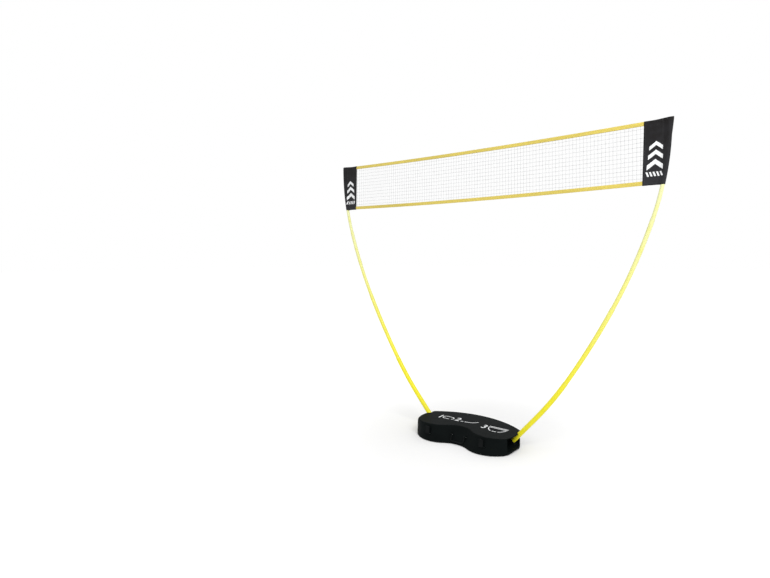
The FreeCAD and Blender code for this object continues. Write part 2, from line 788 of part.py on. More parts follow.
def pole_stations():
    """Where each segment's arc starts: x, z and lean of the centre line, and at last the pole's top."""
    x = ROOT_X + S.root_straight * cosine(S.root_lean)
    z = ROOT_Z + S.root_straight * sine(S.root_lean)
    lean = S.root_lean
    stations = [(x, z, lean)]
    for bend, turn in zip(BENDS, TURNS):
        after = lean + turn
        x = x + bend * (sine(after) - sine(lean))
        z = z + bend * (cosine(lean) - cosine(after))
        lean = after
        stations.append((x, z, lean))
    return stations


STATIONS = pole_stations()


def pole_place(x, z, lean):
    """A place on the centre line: Z along the pole, the bend's centre on the -X side."""
    return Placement(Vector(x, 0, z), Rotation(Vector(0, 1, 0), 90 - lean))


def pole_at(index, travel):
    """A place on one segment's arc, a distance in mm past its start, or before it if negative."""
    x, z, lean = (figure.number for figure in STATIONS[index])
    bend = BENDS[index].number
    after = lean + math.degrees(travel / bend)
    low, high = math.radians(lean), math.radians(after)
    x += bend * (math.sin(high) - math.sin(low))
    z += bend * (math.cos(low) - math.cos(high))
    return pole_place(x, z, after)


def ring_sketch(body, name, outer, inner, bend):
    """A tube's section at the origin, with the axis it is bent about."""
    sketch = new_sketch(body, name, "XY_Plane")
    start, end = Vector(-bend.number, 10, 0), Vector(-bend.number, -10, 0)
    axis = sketch.addGeometry(Part.LineSegment(start, end), True)
    sketch.addConstraint(Sketcher.Constraint("Vertical", axis))
    fix(sketch, "DistanceX", axis, 1, -1, 1, bend)
    fix(sketch, "DistanceY", -1, 1, axis, 1, as_size(10.0))
    fix(sketch, "DistanceY", axis, 2, -1, 1, as_size(10.0))
    add_circle(sketch, ZERO, ZERO, outer)
    if inner is not None:
        add_circle(sketch, ZERO, ZERO, inner)
    return sketch


def build_pole_segment(side, index):
    """One bent tube. Its lower end plugs into the segment below it."""
    name = ("root", "lower", "upper", "top")[index]
    body = new_body("pole_%s_%s" % (side, name))
    outer = OUTER[index]
    inner = outer - S.pole_wall
    turn = TURNS[index]
    if index == 3:
        turn = turn - (S.top_plug_head + S.pocket_cap + S.fit_gap) * DEGREES_PER_RADIAN / BENDS[3]
    arc = ring_sketch(body, "arc_section", outer, inner, BENDS[index])
    revolve(body, "arc", arc, turn, reverse=False)
    if index == 0:
        straight = new_sketch(body, "straight_section", "XY_Plane")
        add_circle(straight, ZERO, ZERO, outer)
        add_circle(straight, ZERO, ZERO, inner)
        pad(body, "straight", straight, S.root_straight, reverse=True)
    else:
        below = BENDS[index - 1]
        plug = ring_sketch(body, "plug_section", outer, inner, below)
        revolve(body, "plug", plug, S.plug_depth * DEGREES_PER_RADIAN / below, reverse=True)
    body.Placement = on_side(side, pole_at(index, 0.0))


def build_pole_stops(side):
    """Rings glued inside the three lower tubes, on which the plugged ends rest."""
    rings = []
    for index in range(3):
        bore = OUTER[index] - S.pole_wall
        depth = S.plug_depth.number + S.stop_length.number + S.fit_gap.number
        place = on_side(side, pole_at(index, ARC_LENGTHS[index].number - depth))
        name = "stop_%s_%d" % (side, index)
        ring = solid("Cylinder", name + "_ring", place, Radius=bore - S.fit_gap / 2, Height=S.stop_length)
        hole = solid("Cylinder", name + "_hole", place, Radius=bore - S.stop_wall, Height=S.stop_length)
        cut_ring = doc.addObject("Part::Cut", name)
        cut_ring.Base = ring
        cut_ring.Tool = hole
        rings.append(cut_ring)
    group("pole_stops_" + side, rings)


def build_pole_plug(side):
    """The plug in the pole's top end, under the pocket's cap."""
    body = new_body("pole_plug_" + side)
    head = new_sketch(body, "head", "XY_Plane")
    add_circle(head, ZERO, ZERO, OUTER[3])
    pad(body, "head_pad", head, S.top_plug_head)
    stem = new_sketch(body, "stem", "XY_Plane")
    add_circle(stem, ZERO, ZERO, OUTER[3] - S.pole_wall - S.fit_gap)
    pad(body, "stem_pad", stem, S.top_plug_stem, reverse=True)
    shortfall = S.top_plug_head.number + S.pocket_cap.number + S.fit_gap.number
    body.Placement = on_side(side, pole_at(3, ARC_LENGTHS[3].number - shortfall))


def build_bracket(side):
    """The pole's bracket: a wedge on the bay's floor, a plate on its wall and a peg in the pole."""
    body = new_body("pole_bracket_" + side)
    profile = new_sketch(body, "wedge", "XZ_Plane")
    reach = S.root_radius + S.bracket_toe
    low = (ROOT_X + reach * sine(S.root_lean), ROOT_Z - reach * cosine(S.root_lean))
    high = (ROOT_X - reach * sine(S.root_lean), ROOT_Z + reach * cosine(S.root_lean))
    face = BAY_X + S.bracket_plate
    corners = [
        (BAY_X, S.bay_floor),
        (low[0] + S.bracket_toe, S.bay_floor),
        low,
        high,
        (face, high[1] + S.bracket_toe),
        (face, BRACKET_TOP),
        (BAY_X, BRACKET_TOP),
    ]
    add_polygon(profile, corners)
    pad(body, "wedge_pad", profile, S.bracket_width, symmetric=True)
    for i, sign in enumerate(SIDES.values()):
        hole = new_sketch(body, "screw_%d" % i, "YZ_Plane", BAY_X)
        add_circle(hole, S.screw_spacing / 2 * sign, SCREW_Z, S.screw_radius + S.fit_gap)
        cut(body, "screw_hole_%d" % i, hole, S.bracket_plate, reverse=True)
    body.Label = "bracket_wedge_" + side
    peg_place = pole_place(ROOT_X.number, ROOT_Z.number, S.root_lean.number)
    peg_radius = S.root_radius - S.pole_wall - S.peg_gap
    peg = solid("Cylinder", "peg_" + side, peg_place, Radius=peg_radius, Height=S.peg_length)
    joined = doc.addObject("Part::Fuse", "bracket_with_peg_" + side)
    joined.Label = "pole_bracket_" + side
    joined.Base = body
    joined.Tool = peg
    joined.Placement = on_side(side)


def build_bracket_screws():
    """Pan-head screws through each bracket's plate and the wall of its bay."""
    screws = []
    head_x = (BAY_X + S.bracket_plate).number
    for side in SIDES:
        for sign in SIDES.values():
            y = S.screw_spacing.number / 2 * sign
            name = "screw_%d" % len(screws)
            place = on_side(side, along(head_x, y, SCREW_Z.number, Vector(-1, 0, 0)))
            shank = solid("Cylinder", name + "_shank", place, Radius=S.screw_radius, Height=S.screw_length)
            head = solid(
                "Cone",
                name + "_head",
                on_side(side, along(head_x, y, SCREW_Z.number, Vector(1, 0, 0))),
                Radius1=S.screw_head_radius,
                Radius2=S.screw_head_radius * SCREW_HEAD_TAPER,
                Height=S.screw_head_height,
            )
            screw = doc.addObject("Part::Fuse", name)
            screw.Base = shank
            screw.Tool = head
            screws.append(screw)
    group("bracket_screws", screws)


# Figures of the net strip that several pieces share

HALF_MESH = STATIONS[4][0] - S.panel_reach
SAG_RADIUS = (HALF_MESH * HALF_MESH + S.net_sag * S.net_sag) / (S.net_sag * 2)
NET_TOP = STATIONS[4][1] + S.net_rise
NET_BOTTOM = NET_TOP - S.net_depth
POCKET_OUTER = OUTER[3] + S.pocket_gap + S.pocket_wall


def build_tape(label, edge_z):
    """A folded tape along the net, sagging a little between the poles."""
    body = new_body(label)
    sketch = new_sketch(body, "strip", "XZ_Plane")
    x = HALF_MESH.number
    swing = math.asin(x / SAG_RADIUS.number)
    arcs = []
    for edge in (edge_z, edge_z - S.tape_width):
        centre_z = edge - S.net_sag + SAG_RADIUS
        arc = add_arc(sketch, (ZERO, centre_z), SAG_RADIUS, 1.5 * math.pi - swing, 1.5 * math.pi + swing)
        arcs.append((arc, centre_z))
    high, low = edge_z.number, (edge_z - S.tape_width).number
    left = sketch.addGeometry(Part.LineSegment(Vector(-x, high, 0), Vector(-x, low, 0)), False)
    right = sketch.addGeometry(Part.LineSegment(Vector(x, low, 0), Vector(x, high, 0)), False)
    upper, lower = arcs[0][0], arcs[1][0]
    joins = [
        ("Coincident", upper, 1, left, 1),
        ("Coincident", left, 2, lower, 1),
        ("Coincident", lower, 2, right, 1),
        ("Coincident", right, 2, upper, 2),
        ("Vertical", left),
        ("Vertical", right),
    ]
    for join in joins:
        sketch.addConstraint(Sketcher.Constraint(*join))
    for arc, centre_z in arcs:
        sketch.addConstraint(Sketcher.Constraint("PointOnObject", arc, 3, -2))
        fix(sketch, "DistanceY", -1, 1, arc, 3, centre_z)
        fix(sketch, "Radius", arc, SAG_RADIUS)
    fix(sketch, "DistanceX", -1, 1, right, 1, HALF_MESH)
    fix(sketch, "DistanceX", left, 1, -1, 1, HALF_MESH)
    pad(body, "strip_pad", sketch, S.tape_thickness, symmetric=True)
    body.Placement = Placement(Vector(0, POLE_Y.number, 0), Rotation())


def sagged(x, z):
    """A point of the net strip, lowered by the strip's sag at that place."""
    radius = SAG_RADIUS.number
    drop = math.sqrt(radius * radius - x * x) - (radius - S.net_sag.number)
    return Vector(x, 0, z - drop)


def build_net_mesh():
    """The mesh between the tapes: one thin sheet with its gaps as holes."""
    half = HALF_MESH.number
    gap = S.fit_gap.number
    top = (NET_TOP - S.tape_width).number - gap
    bottom = (NET_BOTTOM + S.tape_width).number + gap
    strand = S.mesh_strand.number
    columns, rows = int(S.mesh_columns.number), int(S.mesh_rows.number)
    ends = [sagged(-half, bottom), sagged(half, bottom), sagged(half, top), sagged(-half, top)]
    edges = [
        Part.Arc(ends[0], sagged(0, bottom), ends[1]).toShape(),
        Part.LineSegment(ends[1], ends[2]).toShape(),
        Part.Arc(ends[2], sagged(0, top), ends[3]).toShape(),
        Part.LineSegment(ends[3], ends[0]).toShape(),
    ]
    wires = [Part.Wire(edges)]
    pitch_x, pitch_z = (2 * half - strand) / columns, (top - bottom - strand) / rows
    for column in range(columns):
        x0 = -half + strand + column * pitch_x
        x1 = x0 + pitch_x - strand
        for line in range(rows):
            z0 = bottom + strand + line * pitch_z
            z1 = z0 + pitch_z - strand
            corners = [sagged(x0, z0), sagged(x1, z0), sagged(x1, z1), sagged(x0, z1)]
            wires.append(Part.makePolygon(corners + corners[:1]))
    face = Part.makeFace(wires, "Part::FaceMakerBullseye")
    mesh = doc.addObject("Part::Feature", "net_mesh")
    mesh.Label = "net_mesh"
    mesh.Shape = face.extrude(Vector(0, S.mesh_thickness.number, 0))
    mesh.Placement = Placement(Vector(0, (POLE_Y - S.mesh_thickness / 2).number, 0), Rotation())


def build_end_panel(side):
    """The fabric panel between the mesh and the pocket round the pole."""
    body = new_body("end_panel_" + side)
    sketch = new_sketch(body, "panel", "XZ_Plane")
    inner_x = HALF_MESH + S.fit_gap
    high, low = NET_TOP + S.panel_margin, NET_BOTTOM - S.panel_margin
    station = STATIONS[3]
    centre = (station[0] - BENDS[3] * sine(station[2]), station[1] + BENDS[3] * cosine(station[2]))
    radius = BENDS[3] - POCKET_OUTER - S.fit_gap
    start = math.asin((low - centre[1]).number / radius.number)
    end = math.asin((high - centre[1]).number / radius.number)
    low_x = centre[0].number + radius.number * math.cos(start)
    high_x = centre[0].number + radius.number * math.cos(end)
    corners = [Vector(high_x, high.number, 0), Vector(inner_x.number, high.number, 0)]
    corners += [Vector(inner_x.number, low.number, 0), Vector(low_x, low.number, 0)]
    lines = [sketch.addGeometry(Part.LineSegment(*pair), False) for pair in zip(corners, corners[1:])]
    edge = add_arc(sketch, centre, radius, start, end)
    joins = [
        ("Coincident", edge, 2, lines[0], 1),
        ("Coincident", lines[0], 2, lines[1], 1),
        ("Coincident", lines[1], 2, lines[2], 1),
        ("Coincident", lines[2], 2, edge, 1),
        ("Horizontal", lines[0]),
        ("Vertical", lines[1]),
        ("Horizontal", lines[2]),
    ]
    for join in joins:
        sketch.addConstraint(Sketcher.Constraint(*join))
    fix(sketch, "DistanceX", -1, 1, lines[1], 1, inner_x)
    fix(sketch, "DistanceY", -1, 1, lines[1], 1, high)
    fix(sketch, "DistanceY", -1, 1, lines[1], 2, low)
    fix(sketch, "DistanceX", -1, 1, edge, 3, centre[0])
    fix(sketch, "DistanceY", -1, 1, edge, 3, centre[1])
    fix(sketch, "Radius", edge, radius)
    pad(body, "panel_pad", sketch, S.panel_thickness, symmetric=True)
    body.Placement = on_side(side)


def build_pole_pocket(side):
    """The pocket sewn round the pole's top, closed above it. It is drawn from its cap downwards."""
    body = new_body("pole_pocket_" + side)
    inner = OUTER[3] + S.pocket_gap
    length = S.net_depth + S.panel_margin * 2
    section = ring_sketch(body, "pocket_section", POCKET_OUTER, inner, BENDS[3])
    revolve(body, "pocket", section, length * DEGREES_PER_RADIAN / BENDS[3], reverse=True)
    cap = new_sketch(body, "cap", "XY_Plane")
    add_circle(cap, ZERO, ZERO, POCKET_OUTER)
    pad(body, "cap_pad", cap, S.pocket_cap)
    body.Placement = on_side(side, pole_at(3, ARC_LENGTHS[3].number - S.pocket_cap.number))


build_case_base()
build_case_lid()
build_pins()
build_latches()
build_handle()
build_feet()
for side in SIDES:
    for index in range(4):
        build_pole_segment(side, index)
    build_pole_stops(side)
    build_pole_plug(side)
    build_bracket(side)
    build_end_panel(side)
    build_pole_pocket(side)
build_bracket_screws()
build_net_mesh()
build_tape("top_tape", NET_TOP)
build_tape("bottom_tape", NET_BOTTOM + S.tape_width)
doc.recompute()

NODES = ["case_base", "case_lid", "lid_hinge_pins", "latch_pins", "handle_pins"]
NODES += ["carry_handle", "rubber_feet", "bracket_screws", "net_mesh", "top_tape", "bottom_tape"]
for side in SIDES:
    NODES += ["latch_" + side, "pole_stops_" + side, "pole_plug_" + side, "pole_bracket_" + side]
    NODES += ["end_panel_" + side, "pole_pocket_" + side]
    NODES += ["pole_%s_%s" % (side, part) for part in ("root", "lower", "upper", "top")]

for item in doc.Objects:
    if "Invalid" in item.State or "Error" in item.State:
        raise RuntimeError("%s failed: %s" % (item.Name, item.State))
os.makedirs("parts", exist_ok=True)
for node in NODES:
    item = doc.getObjectsByLabel(node)[0]
    if item.Shape.isNull() or not item.Shape.isValid():
        raise RuntimeError("%s has no valid shape" % node)
for node in NODES:
    shape = doc.getObjectsByLabel(node)[0].Shape
    shape.exportStep("parts/%s.step" % node)
    print("%-20s %2d solid(s) %10.1f mm3" % (node, len(shape.Solids), shape.Volume))
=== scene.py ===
import math

import bpy
from bpy.props import FloatProperty, FloatVectorProperty, IntProperty, PointerProperty
from mathutils import Matrix, Vector, noise


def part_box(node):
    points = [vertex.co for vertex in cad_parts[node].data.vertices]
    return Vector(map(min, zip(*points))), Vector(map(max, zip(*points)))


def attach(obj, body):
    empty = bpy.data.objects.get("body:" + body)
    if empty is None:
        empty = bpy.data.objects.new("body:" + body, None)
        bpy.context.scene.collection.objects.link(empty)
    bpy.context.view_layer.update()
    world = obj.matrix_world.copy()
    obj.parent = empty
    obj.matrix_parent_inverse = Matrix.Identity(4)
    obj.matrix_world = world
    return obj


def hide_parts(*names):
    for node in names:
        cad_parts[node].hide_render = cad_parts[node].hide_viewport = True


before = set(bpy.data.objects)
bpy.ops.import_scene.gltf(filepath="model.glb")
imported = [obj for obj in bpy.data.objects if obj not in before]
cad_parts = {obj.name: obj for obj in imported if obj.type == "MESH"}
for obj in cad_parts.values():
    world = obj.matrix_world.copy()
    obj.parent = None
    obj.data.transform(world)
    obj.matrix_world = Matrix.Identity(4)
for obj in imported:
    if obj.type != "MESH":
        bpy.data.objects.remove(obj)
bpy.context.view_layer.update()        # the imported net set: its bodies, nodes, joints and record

bl_info = {
    "name": "Portable volleyball net",
    "version": (1, 0, 0),
    "blender": (4, 5, 0),
    "location": "3D View > Sidebar > Net set",
    "description": "Dresses the net set: case, fittings, poles, netting, tapes, end panels and print",
    "category": "Add Mesh",
}

# Places read from the frame
NET_LOW, NET_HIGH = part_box("net_mesh")
TOP_TAPE_LOW, TOP_TAPE_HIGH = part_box("top_tape")
BOTTOM_TAPE_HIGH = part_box("bottom_tape")[1]
PANEL_LOW, PANEL_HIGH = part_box("end_panel_right")
POCKET_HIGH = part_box("pole_pocket_right")[1]
ROOT_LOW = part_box("pole_right_root")[0]
LID_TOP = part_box("case_lid")[1].z
NET_PLANE = (NET_LOW.y + NET_HIGH.y) / 2
NET_HALF = NET_HIGH.x
SIDES = {"left": -1, "right": 1}

# The poles' bow, which the painted rims and the sleeves follow
POLE_PARTS = ("root", "lower", "upper", "top")
ROOT_RADIUS = NET_PLANE - ROOT_LOW.y
POCKET_RADIUS = POCKET_HIGH.y - NET_PLANE
ROOT_LEAN = math.radians(47)
ROOT_STRAIGHT = 0.25
SEGMENT_LENGTH = 0.619
SEGMENT_TURNS = tuple(math.radians(turn) for turn in (8, 6.5, 9.4, 19.1))
TOP_BEND = SEGMENT_LENGTH / SEGMENT_TURNS[-1]
BEND_CENTRE_X = POCKET_HIGH.x - POCKET_RADIUS - TOP_BEND
BEND_CENTRE_Z = POCKET_HIGH.z


def length_property(label, words, default):
    """A length setting in metres."""
    return FloatProperty(
        name=label, description=words, default=default, unit="LENGTH", precision=4)


class NetSizes(bpy.types.PropertyGroup):
    """Sizes of the net strip's soft pieces."""

    columns: IntProperty(
        name="Columns", description="Cells along the netting", default=104, min=2)
    rows: IntProperty(
        name="Rows", description="Cells down the netting", default=13, min=2)
    twine_radius: length_property(
        "Twine radius", "Half the twine's thickness", 0.0007)
    knot_radius: length_property(
        "Knot radius", "Half a knot's width", 0.0015)
    slack: length_property(
        "Slack", "How far a strand bows between two knots", 0.0012)
    tuck: length_property(
        "Tuck", "How far the netting reaches into the tapes and panels", 0.010)
    tape_width: length_property(
        "Tape width", "Width of a tape once it is folded", 0.026)
    tape_gap: length_property(
        "Tape fold radius", "Half the room inside a folded tape", 0.0012)
    cloth: length_property(
        "Cloth thickness", "Thickness of tape and panel cloth", 0.0007)
    ripple: length_property(
        "Ripple", "Height of the waves in the tapes and panels", 0.0016)
    panel_tuck: length_property(
        "Panel reach", "How far a panel reaches over the netting", 0.011)
    sleeve_radius: length_property(
        "Sleeve radius", "Radius of the sleeve round the pole", 0.0138)
    sleeve_reach: length_property(
        "Sleeve seam", "From the pole's middle to the sleeve's seam", 0.034)
    sleeve_rise: length_property(
        "Sleeve rise", "How far the pole lifts the panel's top corner", 0.006)
    hem: length_property(
        "Hem", "Width of the panels' hems", 0.012)
    stitch_pitch: length_property(
        "Stitch pitch", "From one stitch to the next", 0.0046)
    stitch_length: length_property(
        "Stitch length", "Length of one stitch", 0.0036)
    thread_radius: length_property(
        "Thread radius", "Half the sewing thread's thickness", 0.0003)


def colour_property(label, words, default):
    """A colour setting in scene-linear values."""
    return FloatVectorProperty(
        name=label, description=words, default=default, subtype="COLOR", size=3, min=0, max=1)


class FinishColours(bpy.types.PropertyGroup):
    """Colours of the object's finishes."""

    case_black: colour_property(
        "Case", "Moulded case plastic", (0.0042, 0.0056, 0.0056))
    fitting_black: colour_property(
        "Fittings", "Latches, handle, brackets and plugs", (0.0062, 0.0072, 0.0074))
    rubber_black: colour_property(
        "Rubber", "Feet", (0.014, 0.014, 0.014))
    steel_grey: colour_property(
        "Steel", "Pins and screws", (0.56, 0.57, 0.59))
    pole_yellow: colour_property(
        "Pole, low", "Pole paint near the case", (0.89, 0.81, 0.022))
    # The pole's paler paint at the top is a painted highlight
    pole_pale: colour_property(
        "Pole, high", "Pole paint at the top", (0.79, 0.805, 0.41))
    tape_gold: colour_property(
        "Tape", "Tapes along the netting", (0.76, 0.61, 0.12))
    thread_gold: colour_property(
        "Tape thread", "Stitches in the tapes", (0.86, 0.72, 0.22))
    twine_grey: colour_property(
        "Twine", "Knotted netting", (0.45, 0.46, 0.47))
    panel_dark: colour_property(
        "Panel, high", "Panel cloth near its top", (0.014, 0.013, 0.013))
    panel_grey: colour_property(
        "Panel, low", "Panel cloth near its bottom", (0.030, 0.030, 0.034))
    thread_black: colour_property(
        "Panel thread", "Stitches in the panels", (0.040, 0.040, 0.044))
    print_white: colour_property(
        "Print", "Print on panels and lid", (0.86, 0.87, 0.88))


class StageSizes(bpy.types.PropertyGroup):
    """Camera, floor and lights."""

    lens: FloatProperty(
        name="Lens", description="Focal length on a 36 mm sensor", default=22.01, unit="CAMERA")
    floor_half: FloatProperty(
        name="Floor", description="Half the floor's side", default=60, unit="LENGTH")
    daylight: FloatProperty(
        name="Daylight", description="Strength of the light from all round", default=0.62)
    key_power: FloatProperty(
        name="Key", description="Power of the large lamp at the right", default=258, unit="POWER")
    fill_power: FloatProperty(
        name="Fill", description="Power of the lamp at the left", default=28, unit="POWER")
    floor_glow: FloatProperty(
        name="Floor glow", description="What the camera adds to the lit floor by the object",
        default=0.15)
    far_glow: FloatProperty(
        name="Far glow", description="What the camera adds to the floor far away", default=0.55)


def sign(operation, swapped=False):
    """The method for an arithmetic sign between a field and a field or number."""
    if swapped:
        return lambda field, other: field.graph.math(operation, other, field)
    return lambda field, other: field.graph.math(operation, field, other)


class Field:
    """A varying number in a node tree: arithmetic on it adds Math nodes."""

    def __init__(self, graph, socket):
        self.graph = graph
        self.socket = socket

    __add__ = sign("ADD")
    __radd__ = sign("ADD", swapped=True)
    __sub__ = sign("SUBTRACT")
    __rsub__ = sign("SUBTRACT", swapped=True)
    __mul__ = sign("MULTIPLY")
    __truediv__ = sign("DIVIDE")
    __pow__ = sign("POWER")
    __lt__ = sign("LESS_THAN")

    def __abs__(self):
        return self.graph.math("ABSOLUTE", self)

    def rise(self, start, end):
        """0 below start and 1 above end, with a smooth step between them."""
        settings = {"interpolation_type": "SMOOTHSTEP"}
        inputs = {"Value": self, "From Min": start, "From Max": end}
        return self.graph.node("ShaderNodeMapRange", settings, inputs)["Result"]


class Made:
    """A node that was added: its outputs are read by name or number."""

    def __init__(self, graph, node):
        self.graph = graph
        self.made = node

    def __getitem__(self, key):
        return Field(self.graph, self.made.outputs[key])


class Graph:
    """The nodes of one tree."""

    def __init__(self, tree):
        self.tree = tree

    def node(self, kind, settings=None, inputs=None):
        """Adds a node of that type. Settings come first, then values or links for its inputs."""
        made = self.tree.nodes.new(kind)
        for name, value in (settings or {}).items():
            setattr(made, name, value)
        for key, value in (inputs or {}).items():
            self.feed(made.inputs[key], value)
        return Made(self, made)

    def feed(self, socket, value):
        """Links a field, or each of a list of fields, to the socket, or sets its value."""
        if isinstance(value, list):
            for field in value:
                self.tree.links.new(field.socket, socket)
        elif isinstance(value, Field):
            self.tree.links.new(value.socket, socket)
        else:
            socket.default_value = value

    def math(self, operation, *values):
        return self.node("ShaderNodeMath", {"operation": operation}, dict(enumerate(values)))[0]

    def vector(self, operation, *values):
        return self.node("ShaderNodeVectorMath", {"operation": operation}, dict(enumerate(values)))[0]

    def scaled(self, vector, factor):
        settings = {"operation": "SCALE"}
        return self.node("ShaderNodeVectorMath", settings, {0: vector, "Scale": factor})[0]

    def parts(self, vector):
        """The three numbers of a vector."""
        split = self.node("ShaderNodeSeparateXYZ", inputs={0: vector})
        return split["X"], split["Y"], split["Z"]

    def joined(self, x, y, z):
        return self.node("ShaderNodeCombineXYZ", inputs={"X": x, "Y": y, "Z": z})[0]


class Finish(Graph):
    """A material under construction, around its surface shader."""

    def __init__(self, name, constants=None):
        self.material = bpy.data.materials.new(name)
        self.material.use_nodes = True
        super().__init__(self.material.node_tree)
        self.shader = self.tree.nodes["Principled BSDF"]
        for socket, value in (constants or {}).items():
            self.shader.inputs[socket].default_value = value

    def place(self):
        return self.node("ShaderNodeTexCoord")["Object"]

    def cloth_place(self):
        """Metres across and along the cloth, from its UV map."""
        across, along, _ = self.parts(self.node("ShaderNodeTexCoord")["UV"])
        return across, along

    def facing(self):
        return self.node("ShaderNodeNewGeometry")["Normal"]

    def speckle(self, vector, scale, detail=2.0):
        inputs = {"Vector": vector, "Scale": scale, "Detail": detail}
        return self.node("ShaderNodeTexNoise", inputs=inputs)[0]

    def streaks(self, place, scales, detail=2.0):
        """Noise that is stretched differently along X, Y and Z."""
        return self.speckle(self.vector("MULTIPLY", place, scales), 1.0, detail)

    def mix(self, factor, first, second):
        """A colour between two, by a factor from 0 to 1."""
        inputs = {0: factor, 6: colour_value(first), 7: colour_value(second)}
        return self.node("ShaderNodeMix", {"data_type": "RGBA"}, inputs)[2]

    def coat(self, colour, roughness, height=None, depth=0.001, metal=None):
        """Feeds the shader: colour, roughness, and relief from a height of 0 to 1."""
        self.feed(self.shader.inputs["Base Color"], colour_value(colour))
        self.feed(self.shader.inputs["Roughness"], roughness)
        if metal is not None:
            self.feed(self.shader.inputs["Metallic"], metal)
        if height is not None:
            inputs = {"Height": height, "Distance": depth, "Strength": 1.0}
            self.feed(self.shader.inputs["Normal"], self.node("ShaderNodeBump", inputs=inputs)[0])
        return self.material


def colour_value(colour):
    """A field as it is, or an RGB colour with its alpha."""
    return colour if isinstance(colour, Field) else (*colour, 1.0)


def shade(colour, factor):
    """A lighter or darker copy of a colour."""
    return tuple(min(1.0, channel * factor) for channel in colour)


def moulded_black(name, colour, grain_scale, gloss):
    """Moulded black plastic: fine grain, faint flow marks, a little dust on top and scuffs."""
    finish = Finish(name, {"Specular IOR Level": gloss})
    place = finish.place()
    grain = finish.speckle(place, grain_scale)
    flow = finish.streaks(place, (4.0, 9.0, 14.0), 4.0)
    scuffs = finish.streaks(place, (30.0, 60.0, 240.0), 3.0).rise(0.62, 0.78)
    up = finish.parts(finish.facing())[2].rise(0.3, 1.0)
    dust = up * finish.speckle(place, 26, 5.0).rise(0.45, 0.75) * 0.2
    body = finish.mix(flow.rise(0.25, 0.75), shade(colour, 0.85), shade(colour, 1.2))
    worn = finish.mix(scuffs * 0.35 + dust, body, shade(colour, 2.6))
    roughness = 0.46 + grain * 0.12 + dust * 0.3 + scuffs * 0.12
    return finish.coat(worn, roughness, grain, 0.00012)


# Heights between which a painted highlight turns the poles' paint paler, and how much of a rim is
# rubbed bare
HIGHLIGHT_HEIGHTS = (0.30, 1.85)
BARE_RIM = 0.0016
BARE_METAL = (0.62, 0.62, 0.60)


def pole_paint(name, colours, rim, direction):
    """Glossy yellow paint that a painted highlight makes paler up the pole, rubbed to bare metal at
    the open rim.
    """
    finish = Finish(name, {"Coat Weight": 0.12, "Coat Roughness": 0.12, "Specular IOR Level": 0.2})
    place = finish.place()
    x, _, z = finish.parts(place)
    # Painted highlight: the paint turns paler up the pole
    painted_highlight = z.rise(*HIGHLIGHT_HEIGHTS)
    cloud = finish.speckle(place, 14, 3.0)
    peel = finish.speckle(place, 420)
    paint = finish.mix(painted_highlight, colours.pole_yellow, colours.pole_pale)
    paint = finish.mix(cloud.rise(0.35, 0.8) * 0.35, paint, shade(colours.pole_yellow, 0.86))
    scratch = finish.streaks(place, (900.0, 900.0, 60.0)).rise(0.70, 0.76)
    rim_x, rim_z = rim
    before_rim = (rim_x - x) * direction[0] + (rim_z - z) * direction[1]
    bare = before_rim + finish.speckle(place, 900) * BARE_RIM < BARE_RIM
    metal = finish.math("MAXIMUM", bare, scratch * 0.25)
    colour = finish.mix(metal, paint, BARE_METAL)
    return finish.coat(colour, 0.26 + peel * 0.08 + metal * 0.15, peel, 0.00006, metal)


def brushed_steel(name, colour):
    """Zinc-plated steel with turning marks and small dull patches."""
    finish = Finish(name)
    place = finish.place()
    turning = finish.streaks(place, (4000.0, 300.0, 300.0))
    dull = finish.speckle(place, 160, 4.0).rise(0.5, 0.8)
    metal = finish.mix(dull * 0.6, colour, shade(colour, 0.55))
    return finish.coat(metal, 0.24 + turning * 0.14 + dull * 0.2, turning, 0.00003, 1.0)


def foot_rubber(name, colour):
    """Matt rubber with a pebbled skin, greyed by dust."""
    finish = Finish(name, {"Specular IOR Level": 0.2})
    place = finish.place()
    pebble = finish.speckle(place, 700)
    dust = finish.speckle(place, 60, 4.0).rise(0.45, 0.75)
    dusty = finish.mix(dust * 0.5, colour, shade(colour, 3.0))
    return finish.coat(dusty, 0.78 + pebble * 0.1, pebble, 0.0002)


def knotted_twine(name, colour):
    """Spun twine: strands twisted round it, slightly dusty in places."""
    finish = Finish(name, {"Sheen Weight": 0.3, "Specular IOR Level": 0.2})
    place = finish.place()
    x, _, z = finish.parts(place)
    twist = finish.math("SINE", (x + z) * 5200.0) * 0.5 + 0.5
    cloud = finish.speckle(place, 18, 3.0)
    body = finish.mix(cloud.rise(0.3, 0.75), shade(colour, 0.82), shade(colour, 1.18))
    body = finish.mix(twist * 0.35, body, shade(colour, 0.72))
    return finish.coat(body, 0.72 + twist * 0.1, twist, 0.0001)


# From one thread of the weave to the next, and the tapes' selvedges
TAPE_THREADS = 0.0009
PANEL_THREADS = 0.0007
SELVEDGE = (0.0022, 0.0012)


def woven(finish, across, along, pitch):
    """Height of a plain weave, from 0 to 1, with its threads a pitch apart."""
    over = finish.math("SINE", across * (math.pi / pitch))
    under = finish.math("SINE", along * (math.pi / pitch))
    return abs(over) * 0.5 + abs(under) * 0.5


def tape_cloth(name, colour, width):
    """Woven golden tape: ribs across it with painted shade in their hollows, a selvedge at each edge,
    and faint fading.
    """
    finish = Finish(name, {"Sheen Weight": 0.25, "Specular IOR Level": 0.25})
    across, along = finish.cloth_place()
    rib = woven(finish, across, along, TAPE_THREADS)
    place = finish.place()
    fade = finish.streaks(place, (3.0, 8.0, 30.0), 4.0)
    grime = finish.speckle(place, 55, 4.0).rise(0.55, 0.8)
    edge = abs(across - width / 2).rise(*(width / 2 - inset for inset in SELVEDGE))
    body = finish.mix(fade.rise(0.3, 0.7), shade(colour, 0.93), shade(colour, 1.06))
    body = finish.mix(grime * 0.25 + edge * 0.3, body, shade(colour, 0.66))
    # Painted shade: the colour is darker in the hollows between the threads
    body = finish.mix(rib.rise(0.2, 0.9), shade(colour, 0.72), body)
    return finish.coat(body, 0.74 - rib * 0.08, rib, 0.0002)


